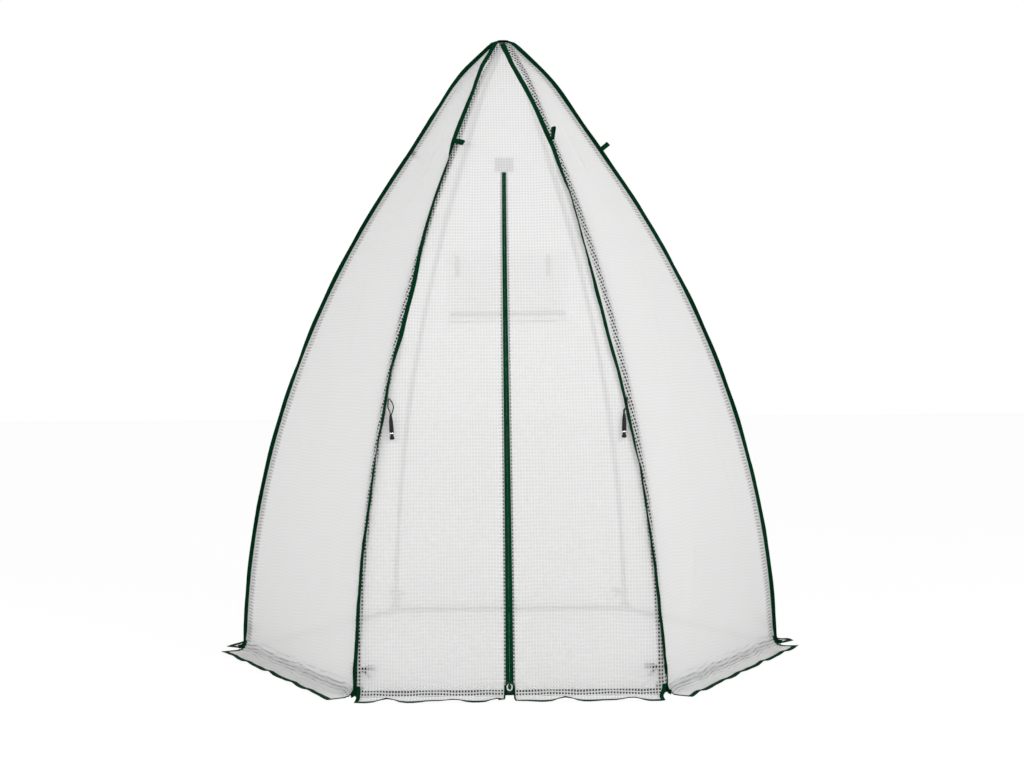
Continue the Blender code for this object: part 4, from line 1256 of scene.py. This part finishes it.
# %% Zip tapes and coils
ZIP_LOW = 0.006
ZIP_TAPE_HEM = 0.0055
ZIP_GAP_HALF = 0.00005
COIL_PITCH = 0.0022
COIL_REACH = 0.0017
COIL_RADII = (0.0015, 0.0011)
COIL_LIFT = -0.0026
COIL_START = 0.004
COIL_DRAWN_IN = 0.72
END_ACROSS, END_LIFT, END_SIZE = 0.0066, 0.0016, (0.0118, 0.0024)
TAPE_LIFT = -0.0010
TAPE_SHARES = np.array([0.0, 0.15, 0.3, 0.45, 0.7, 1.0])
FOLDED_END = 0.016


def zip_tape(part):
    """A single woven sheet; the film lies on the outside of its outer part."""
    hand = HANDS[part]
    runs = np.linspace(float(run_at(ZIP_LOW)), ZIP_TOP_RUN + ZIP_EASE, 130)
    wide = zip_edge(np.minimum(runs, ZIP_TOP_RUN)) + ZIP_TAPE_HEM
    across = ZIP_GAP_HALF + (wide[:, None] - ZIP_GAP_HALF) * TAPE_SHARES[::hand]
    across, up = np.broadcast_arrays(hand * across, runs[:, None])
    measure = np.stack([np.abs(across) + 0.01, up], -1)
    return grid_piece(f"zip_tape_{part}", on_film(0, across, up, TAPE_LIFT), measure, DARK_TAPE)


def zip_coil(part):
    """The coil as a row of small rings, every second one drawn in."""
    low, high = float(run_at(ZIP_LOW + COIL_START)), ZIP_TOP_RUN
    runs = np.linspace(low, high, int((high - low) / COIL_PITCH) * 2 + 1)
    ring = disc(1.0, 6) * COIL_RADII
    swell = np.where(np.arange(len(runs)) % 2, 1.0, COIL_DRAWN_IN)[:, None]
    across = HANDS[part] * (COIL_REACH + ring[:, 0] * swell)
    lift = COIL_LIFT + ring[:, 1] * swell
    places = on_film(0, across, np.broadcast_to(runs[:, None], across.shape), lift)
    return loft(f"zip_coil_{part}", places, np.arange(6) * 0.0014, runs, GREEN_NYLON)


def folded_end(part):
    """The tape's end folded back on itself and sewn down, below the closed slider."""
    runs = np.linspace(float(run_at(ZIP_LOW - 0.001)), float(run_at(ZIP_LOW)) + FOLDED_END, 5)
    path = on_film(0, np.full(len(runs), HANDS[part] * END_ACROSS), runs, END_LIFT)
    return carry(f"zip_end_{part}", path, ACROSS, band(*END_SIZE), DARK_TAPE)


for part in HANDS:
    tape, coil = zip_tape(part), zip_coil(part)
    for piece in (tape, coil, folded_end(part)):
        follow_door(piece, part)
    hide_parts(f"{part}_zip_tape")
    if part == "left":
        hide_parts("zip_top")
print("coil faces:", len(coil.data.polygons))

# %% [markdown]
# Above the zip a square of doubled film takes the strain. It is sewn on round its edges,
# so it bulges slightly in its middle.

# %% Square above the zip
PATCH = 0.058
PATCH_STEPS = 12
PATCH_STAND, PATCH_BULGE = 0.0008, 0.0012


def strain_patch():
    low = ZIP_TOP_RUN + 0.001
    across, runs = np.meshgrid(np.linspace(-PATCH / 2, PATCH / 2, PATCH_STEPS),
                               np.linspace(low, low + PATCH, PATCH_STEPS))
    bulge = smooth(1 - np.abs(2 * across / PATCH))
    bulge = bulge * smooth(1 - np.abs(2 * (runs - low) / PATCH - 1))
    places = on_film(0, across, runs, PATCH_STAND + PATCH_BULGE * bulge)
    measure = np.stack([across + 0.003, runs + 0.004], -1)
    patch = grid_piece("zip_end_patch_film", places, measure, DOUBLED_FILM,
                       {"contact": 0.0 * across})
    belongs(patch, FIXED, "zip_end_patch")
    return patch


print("patch:", round(sheet_area(strain_patch()) * 1e4, 1), "square cm")

# %% [markdown]
# The slider is a die-cast body, wider at its top where the two coils enter, with a small
# bridge that holds the pull. It starts as a block, is divided, drawn in at its foot and
# given rounded edges. The pull is a flat ring of plated metal.

# %% Slider and pull
ZIP_FOOT = 0.043
SLIDER_SIZE = (0.0215, 0.0052, 0.033)
SLIDER_WAIST = 0.76
SLIDER_LIFT = 0.0019
SLIDER_EDGE = 0.0009
BRIDGE_RADIUS = 0.0030
PULL_SIZE = (0.0175, 0.0215)
PULL_METAL = 0.0017


def slider_frame():
    """Middle of the slider's back, its upward and outward directions."""
    run = float(run_at(ZIP_FOOT)) - SLIDER_SIZE[2] / 2 - 0.0003
    place, out = side_point(0, 0.0, run, SLIDER_LIFT)
    up = np.array([0.0, -out[2] / out[1] * abs(out[1]), abs(out[1])])
    return place, unit(up), out


def place_piece(piece, place, up, out):
    """Stands a piece made with its width on X, its front on -Y and its height on Z."""
    matrix = Matrix((Vector((1, 0, 0)), Vector(-out), Vector(up))).transposed().to_4x4()
    piece.matrix_world = Matrix.Translation(Vector(place)) @ matrix
    select_only(piece)
    bpy.ops.object.transform_apply(location=True, rotation=True, scale=True)


def slider_body():
    bpy.ops.mesh.primitive_cube_add(size=1.0, location=(0.0, -SLIDER_SIZE[1] / 2, 0.0))
    body = bpy.context.object
    body.name = "zip_slider_body"
    bpy.ops.transform.resize(value=SLIDER_SIZE)
    bpy.ops.object.transform_apply(location=True, scale=True)
    bpy.ops.object.mode_set(mode="EDIT")
    bpy.ops.mesh.select_all(action="SELECT")
    bpy.ops.mesh.subdivide(number_cuts=5)
    bpy.ops.object.mode_set(mode="OBJECT")
    for corner in body.data.vertices:
        share = corner.co.z / SLIDER_SIZE[2]
        waist = SLIDER_WAIST + (1 - SLIDER_WAIST) * float(smooth((share + 0.35) / 0.35))
        corner.co.x *= waist * (1 - 0.25 * float(smooth((share - 0.3) / 0.2)))
    round_off = body.modifiers.new("edges", "BEVEL")
    round_off.width = SLIDER_EDGE
    round_off.segments = 3
    round_off.limit_method = "ANGLE"
    bpy.ops.object.modifier_apply(modifier="edges")
    bpy.ops.object.shade_smooth_by_angle(angle=radians(40))
    paint(body, ENAMEL)
    return body


slider_place, slider_up, slider_out = slider_frame()
slider = slider_body()
place_piece(slider, slider_place, slider_up, slider_out)
hinge = slider_place + slider_up * SLIDER_SIZE[2] / 4 + slider_out * (SLIDER_SIZE[1] + 0.0016)
turns = np.linspace(0.0, pi, 9)
rise, reach = np.cos(turns)[:, None], np.sin(turns)[:, None] - 0.55
bridge = hinge + BRIDGE_RADIUS * (rise * slider_up + reach * slider_out)
bridge = carry("slider_bridge", bridge, ACROSS, band(0.0050, 0.0011), ENAMEL)
slider = belongs(join_pieces([slider, bridge], "zip_slider_body"), "slider", "zip_slider")


def pull_ring():
    """A closed flat ring, rounder at its top, narrow where the bridge holds it."""
    half, tall = PULL_SIZE[0] / 2 - 0.0021, PULL_SIZE[1] - 0.0036
    turns = np.linspace(0.0, 2 * pi, 41)
    squared = np.abs(np.cos(turns)) ** 0.7 * np.sign(np.cos(turns))
    drop = -(1 - np.cos(turns - pi / 2)) / 2 * tall
    across = half * squared * (1 + 0.10 * (-drop / tall))
    path = hinge + 0.0012 * slider_up + across[:, None] * ACROSS + drop[:, None] * slider_up
    way = unit(np.stack([np.cos(turns), 0 * turns, np.sin(turns)], -1))
    narrow = 0.45 + 0.55 * smooth(-drop / 0.006)
    return carry("zip_pull_ring", path, way, band(0.0042, PULL_METAL), PLATED,
                 widths=narrow, closed=True)


pull = belongs(pull_ring(), "pull", "zip_pull")
print("slider faces:", len(slider.data.polygons), "pull faces:", len(pull.data.polygons))

# %% [markdown]
# A tie-back toggle hangs beside each front rib: a moulded bar with a neck and a flared
# end, on a loop of elastic cord that is sewn in under the binding. The bar is turned: a
# disc is extruded along its length, and each new ring is scaled to the profile.

# %% Toggles
TOGGLE_FACETS = 28
TOGGLE_PROFILE = (
    (0.0, 0.0028), (0.003, 0.0040), (0.018, 0.0058), (0.045, 0.0066), (0.0515, 0.0066),
    (0.0530, 0.0054), (0.0532, 0.0036), (0.0585, 0.0036), (0.0588, 0.0056),
    (0.0625, 0.0048), (0.0665, 0.0068), (0.0705, 0.0074), (0.0725, 0.0060))
RING_PROFILE = ((0.0545, 0.0034), (0.0545, 0.0058), (0.0575, 0.0058), (0.0575, 0.0034))
TOGGLE_LIFT = 0.0100
CORD_DIAMETER = 0.0034
STRAND_GAP_HALF = 0.0014
TOGGLES = {
    "left": {"top": (-0.3421, 0.803), "foot": (-0.3365, 0.730),
             "anchor": (-0.3480, 0.852), "bulge": 0.0125},
    "right": {"top": (0.3424, 0.803), "foot": (0.3405, 0.732),
              "anchor": (0.3520, 0.850), "bulge": 0.0020},
}


def turned_bar(name, profile, look):
    """A solid of rings (distance, radius) down the Z axis, closed at both ends."""
    made = new_disc(name, TOGGLE_FACETS, profile[0][1], -profile[0][0])
    bpy.ops.object.mode_set(mode="EDIT")
    bpy.ops.mesh.select_all(action="SELECT")
    for (last, radius), (distance, wider) in zip(profile, profile[1:]):
        step = (0.0, 0.0, last - distance)
        bpy.ops.mesh.extrude_region_move(TRANSFORM_OT_translate={"value": step})
        share = wider / radius
        bpy.ops.transform.resize(value=(share, share, 1.0), center_override=(0.0, 0.0, -distance))
    bpy.ops.mesh.select_all(action="SELECT")
    bpy.ops.mesh.normals_make_consistent(inside=False)
    bpy.ops.object.mode_set(mode="OBJECT")
    bpy.ops.object.shade_smooth_by_angle(angle=radians(45))
    paint(made, look)
    return made


def front_place(across, height, lift):
    return side_point(0, np.array(across), run_at(height), lift)[0]


def toggle_bar(part, spec):
    """The bar and its pale ring, laid against the film."""
    top, foot = (Vector(front_place(*spec[end], TOGGLE_LIFT)) for end in ("top", "foot"))
    bar = turned_bar(f"toggle_bar_{part}", TOGGLE_PROFILE, PLASTIC)
    ring = turned_bar(f"toggle_ring_{part}", RING_PROFILE, PLATED)
    for piece in (bar, ring):
        select_only(piece)
        piece.rotation_mode = "QUATERNION"
        piece.rotation_quaternion = (foot - top).to_track_quat("-Z", "Y")
        piece.location = top
        bpy.ops.object.transform_apply(location=True, rotation=True)
        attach(piece, f"{part}_tie")
    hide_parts(f"{part}_toggle")


def smooth_path(points, count):
    """A smooth curve through a few places, by cubic steps between them."""
    points = np.asarray(points, float)
    marks = path_measure(points)
    slopes = np.gradient(points, marks, axis=0)
    path = []
    for reading in np.linspace(0.0, marks[-1], count):
        i = min(int(np.searchsorted(marks, reading, side="right")) - 1, len(points) - 2)
        span = marks[i + 1] - marks[i]
        t = (reading - marks[i]) / span
        path.append(points[i] * (2 * t ** 3 - 3 * t ** 2 + 1)
                    + points[i + 1] * (3 * t ** 2 - 2 * t ** 3)
                    + slopes[i] * span * (t ** 3 - 2 * t ** 2 + t)
                    + slopes[i + 1] * span * (t ** 3 - t ** 2))
    return np.array(path)


def elastic_cord(part, number, spec, bulge):
    """One strand of the loop, from under the binding to the bar."""
    x, z = spec["anchor"]
    bar_x, bar_z = spec["top"]
    side = STRAND_GAP_HALF * (1 if number else -1)
    path = smooth_path([
        front_place(x + side, z, 0.0058),
        front_place(x + side + bulge * 0.62, z - 0.011, 0.0082),
        front_place(x + side + bulge, z - 0.026, 0.0092),
        front_place(bar_x + side + bulge * 0.25, bar_z + 0.008, 0.0098),
        front_place(bar_x + side * 0.5, bar_z - 0.004, TOGGLE_LIFT)], 26)
    name = f"toggle_cord_{part}_{number + 1}"
    cord = carry(name, path, ACROSS, disc(CORD_DIAMETER / 2, 10), ELASTIC)
    length = float(path_measure(path)[-1])
    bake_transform(cord)
    return length


for part, spec in TOGGLES.items():
    toggle_bar(part, spec)
    lengths = [elastic_cord(part, number, spec, -HANDS[part] * bulge)
               for number, bulge in enumerate((-0.001, spec["bulge"]))]
    print(part, "toggle cords:", [round(1000 * length, 1) for length in lengths], "mm")

# %% [markdown]
# Near the top of each seam a short piece of webbing is folded into a loop and sewn in
# with the binding, for a guy line. A band carried round a drop-shaped path makes it.

# %% Webbing loops
LOOP_HEIGHT = 1.657
LOOP_LENGTH = 0.040
LONG_LOOP = 0.050
LOOP_WIDTH = 0.016
LOOP_OPENING = 0.0044
WEBBING_THICK = 0.0012
LOOP_TURNS = {"front_left": (106, -14), "front_right": (30, 58), "right": (28, 12),
              "back_right": (62, 0), "back_left": (-62, -10), "left": (97, 0)}


def folded_loop(length, count):
    """A band folded to a loop: readings along it, its reach and which side of its eye it is on."""
    shares = np.linspace(0.0, 1.0, count)
    return shares, length * np.sin(pi * shares) ** 0.8, np.sin(2 * pi * shares)


def webbing_loop(rib):
    name = RIB_NAMES[rib]
    run = run_at(LOOP_HEIGHT)
    root, outward = corner_point(rib, run, seam_slip(rib, run))
    rise = corner_frame(rib, run)[1]
    side = np.cross(rise, outward)
    turn, lift = (radians(degrees) for degrees in LOOP_TURNS[name])
    level, face = turned(outward, side, turn)
    along, wide = turned(level, rise, lift)
    root = root + outward * BINDING_WIDTH * 0.55
    shares, reach, eye = folded_loop(LONG_LOOP if name == "front_left" else LOOP_LENGTH, 33)
    open_way = LOOP_OPENING * eye * (0.35 + 0.65 * np.sin(pi * shares) ** 2)
    open_way = open_way + 0.0007 * np.cos(pi * shares)
    sag = -0.10 * reach
    path = root + reach[:, None] * along + open_way[:, None] * face + sag[:, None] * wide
    loop = carry(f"loop_{name}", settle(path), wide, band(LOOP_WIDTH, WEBBING_THICK), GREEN_TAPE)
    return belongs(loop, FIXED)


print("webbing loops:", len([webbing_loop(rib) for rib in range(SIDES)]))

# %% [markdown]
# Inside each foot of the cover a short black strap is tied round the tube, to keep the
# cover from lifting. The strap goes round the tube's inner side and ends in a small bow.

# %% Ties at the rib feet
TIE_STRAP = solid_finish(
    "black_polyester_strap", "#121213", "#242426", 1.0, 0.75, 0.06, 0.0, 0.2)
TIE_RADIUS = 0.0093
TIE_WIDTH = 0.010
TIE_SWEEP = radians(245)
BOW_WIDTH, TAIL_WIDTH, RIBBON_THICK = 0.014, 0.012, 0.0008
BOWS = ((58, 0.042, 0.0110, 0.15), (-48, 0.026, 0.0080, -0.2))
TAILS = ((66, 0.036, -0.55), (-20, 0.028, -1.0))


def foot_tie(rib):
    """A strap round the inner side of a tube, two small loops and two tails."""
    run = run_at(TIE_HEIGHT)
    seam, rise, outward, turn, radius = corner_frame(rib, run)
    axis = seam - radius / cos(float(turn)) * outward
    side = np.cross(rise, outward)
    turns = np.linspace(-TIE_SWEEP / 2, TIE_SWEEP / 2, 25)
    ring = axis - TIE_RADIUS * (np.cos(turns)[:, None] * outward - np.sin(turns)[:, None] * side)
    pieces = [carry("tie", ring, rise, band(TIE_WIDTH, 0.0009), TIE_STRAP)]
    knot = axis - (TIE_RADIUS + 0.0022) * outward
    hand = DOOR_HAND.get(rib, 1)
    for angle, length, opening, lift in BOWS:
        along = unit(-outward * 0.55 + side * hand * sin(radians(angle)) * 1.3 + rise * lift)
        face = unit(np.cross(rise, along))
        _, reach, eye = folded_loop(length, 21)
        path = knot + reach[:, None] * along + (opening * eye)[:, None] * face
        pieces.append(carry("bow", path, rise, band(BOW_WIDTH, RIBBON_THICK), TIE_STRAP))
    for angle, length, fall in TAILS:
        along = unit(-outward * 0.4 + side * hand * sin(radians(angle)) + rise * fall)
        shares = np.linspace(0.0, 1.0, 12)[:, None]
        path = knot + length * shares * along - 0.010 * shares ** 2 * UP
        pieces.append(carry("tail", path, side, band(TAIL_WIDTH, RIBBON_THICK), TIE_STRAP))
    return belongs(join_pieces(pieces, f"foot_tie_{RIB_NAMES[rib]}"), FIXED)


print("foot ties:", len([foot_tie(rib) for rib in range(SIDES)]))

# %% [markdown]
# The back window is filled with knitted insect net and covered by a loose flap of film
# that is sewn on along its top. A rod in the flap's lower hem holds it down, and two
# straps inside hold it when it is rolled up. A dark tape is sewn along the opening's foot.

# %% Back window
NET_MESH_MM = 3.0
NET_THREAD_SHARE = 0.34
FLAP_OVERLAP = 0.022
ROD_RADIUS = 0.0038
STRAP_WIDTH = 0.018
SILL_WIDTH, SILL_HALF, SILL_RISE, SILL_BEHIND = 0.020, 0.212, 0.010, 0.0045
STRAP_ACROSS = (0.180, -0.150)
STRAP_ABOVE, STRAP_BELOW = 0.004, 0.078
STRAP_BEHIND, STRAP_SAG = 0.007, 0.004
NET_BEHIND, NET_SAG = 0.0003, 0.002
FLAP_STAND, FLAP_WAVE = 0.0012, 0.005


def insect_net_finish():
    """Knitted net; its 1.3 mm mesh is drawn at 3 mm so that it still shows."""
    look, tree, surface = new_material("knitted_insect_net")
    across, along = metres(tree)[1:]
    threads = [calc(tree, "LESS_THAN", from_yarn(tree, place, NET_MESH_MM), NET_THREAD_SHARE / 2)
               for place in (across, along)]
    thread = principled(tree, hex_colour("#c9cfcb"), 0.7, {"IOR": 1.5})
    hole = add_node(tree, "ShaderNodeBsdfTransparent").outputs[0]
    tree.links.new(mix_shaders(tree, calc(tree, "MAXIMUM", *threads), hole, thread), surface)
    return look


def back_sheet(name, half, low, high, steps, lift, look):
    """A sheet on the back side; lift(across, run) gives how far it stands off."""
    across, runs = np.meshgrid(np.linspace(-half, half, steps[0]),
                               np.linspace(low, high, steps[1]))
    places = on_film(3, across, runs, lift(across, runs))
    measure = np.stack([across, runs], -1)
    return grid_piece(name, places, measure, look, {"contact": 0.0 * across}), places


def net_lift(across, _):
    """The net hangs in a little, most in its middle."""
    return -NET_BEHIND - NET_SAG * smooth(1 - np.abs(across) / WINDOW_HALF)


def flap_lift(across, run):
    """The flap stands off a little more towards its foot, in slow waves."""
    down = (FLAP_HIGH - run) / (FLAP_HIGH - FLAP_LOW)
    return FLAP_STAND + FLAP_WAVE * down * (0.6 + 0.4 * np.sin(21 * across + 1.0))


def inner_strap(name, path, way, width):
    strap = carry(name, path, way, band(width, WEBBING_THICK), TIE_STRAP)
    return belongs(strap, FIXED)


FLAP_HALF = WINDOW_HALF + FLAP_OVERLAP
FLAP_LOW, FLAP_HIGH = WINDOW_LOW - FLAP_OVERLAP, WINDOW_HIGH + FLAP_OVERLAP
net, _ = back_sheet("window_net_sheet", WINDOW_HALF, WINDOW_LOW, WINDOW_HIGH, (30, 20),
                    net_lift, insect_net_finish())
belongs(net, FIXED, "window_net")

flap, flap_places = back_sheet("window_flap_sheet", FLAP_HALF, FLAP_LOW, FLAP_HIGH, (46, 26),
                               flap_lift, FILM)
belongs(flap, "window", "window_flap")
rod = carry("window_flap_rod", flap_places[0], UP, disc(ROD_RADIUS, 12), STEEL)
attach(rod, "window")

runs = np.linspace(WINDOW_HIGH + STRAP_ABOVE, WINDOW_HIGH - STRAP_BELOW, 14)
sag = -STRAP_BEHIND - STRAP_SAG * np.sin(np.linspace(0.0, 2.6, 14))
for number, across in enumerate(STRAP_ACROSS, 1):
    path = settle(side_point(3, np.full(14, across), runs, sag)[0])
    inner_strap(f"window_strap_{number}", path, ACROSS, STRAP_WIDTH)
across = np.linspace(-SILL_HALF, SILL_HALF, 30)
slope = side_point(3, 0.0, WINDOW_HIGH)[0] - side_point(3, 0.0, WINDOW_LOW)[0]
path = on_film(3, across, np.full(30, WINDOW_LOW + SILL_RISE), -SILL_BEHIND)
inner_strap("window_sill_tape", path, slope, SILL_WIDTH)
print("window flap:", round(2000 * FLAP_HALF), "x", round(1000 * (FLAP_HIGH - FLAP_LOW)), "mm")

# %% [markdown]
# The photograph is a cut-out on white with soft light from both sides, a little stronger
# from the right. Two large round lamps and a pale sky do that here. The background shows
# white only to the camera, and the floor is nearly white but keeps the soft shadow.

# %% Light, floor and background
def make_light(name, place, target, size, power):
    lamp = bpy.data.lights.new(name, "AREA")
    lamp.shape = "DISK"
    lamp.size = size
    lamp.energy = power
    made = bpy.data.objects.new(name, lamp)
    made.location = place
    made.rotation_mode = "QUATERNION"
    made.rotation_quaternion = (Vector(target) - Vector(place)).to_track_quat("-Z", "Y")
    bpy.context.collection.objects.link(made)
    return made


WORLD_LIGHT = 0.62
WHITE = (1.0, 1.0, 1.0, 1.0)
FLOOR_SIZE, FLOOR_DROP = 40.0, 0.0005
FLOOR_GREY = (0.85, 0.85, 0.85, 1.0)
FLOOR_GLOW, GLOW_SHARE = 1.025, 0.90
LAMPS_AIM = (0.0, 0.0, 1.0)


def make_world():
    world = bpy.data.worlds.new("studio")
    world.use_nodes = True
    bpy.context.scene.world = world
    tree = world.node_tree
    tree.nodes.clear()
    path = add_node(tree, "ShaderNodeLightPath").outputs
    seen = calc(tree, "MAXIMUM", path["Is Camera Ray"], path["Is Glossy Ray"])
    seen = calc(tree, "MAXIMUM", seen, path["Is Transmission Ray"])
    soft, white = (add_node(tree, "ShaderNodeBackground", {
        "Color": WHITE, "Strength": strength}).outputs[0] for strength in (WORLD_LIGHT, 1.0))
    surface = add_node(tree, "ShaderNodeOutputWorld").inputs["Surface"]
    tree.links.new(mix_shaders(tree, seen, soft, white), surface)


def make_floor():
    bpy.ops.mesh.primitive_plane_add(size=FLOOR_SIZE, location=(0.0, 0.0, -FLOOR_DROP))
    floor = bpy.context.object
    floor.name = "floor"
    look, tree, surface = new_material("pale_studio_floor")
    path = add_node(tree, "ShaderNodeLightPath").outputs
    matt = add_node(tree, "ShaderNodeBsdfDiffuse", {"Color": FLOOR_GREY}).outputs[0]
    glow = add_node(tree, "ShaderNodeEmission", {"Color": WHITE, "Strength": FLOOR_GLOW})
    # Seen through the film the floor is a real one, in the shade of the cover
    bare = calc(tree, "LESS_THAN", path["Transparent Depth"], 0.5)
    share = calc(tree, "MULTIPLY", calc(tree, "MULTIPLY", path["Is Camera Ray"], GLOW_SHARE), bare)
    tree.links.new(mix_shaders(tree, share, matt, glow.outputs[0]), surface)
    paint(floor, look)


lamps = [make_light("key", (3.6, -3.6, 3.6), LAMPS_AIM, 2.6, 172.0),
         make_light("fill", (-4.2, -3.0, 2.8), LAMPS_AIM, 3.0, 114.0)]
make_world()
make_floor()
bpy.context.scene.view_settings.view_transform = "Standard"
print("lamps:", len(lamps), "floor:", FLOOR_SIZE, "m wide")
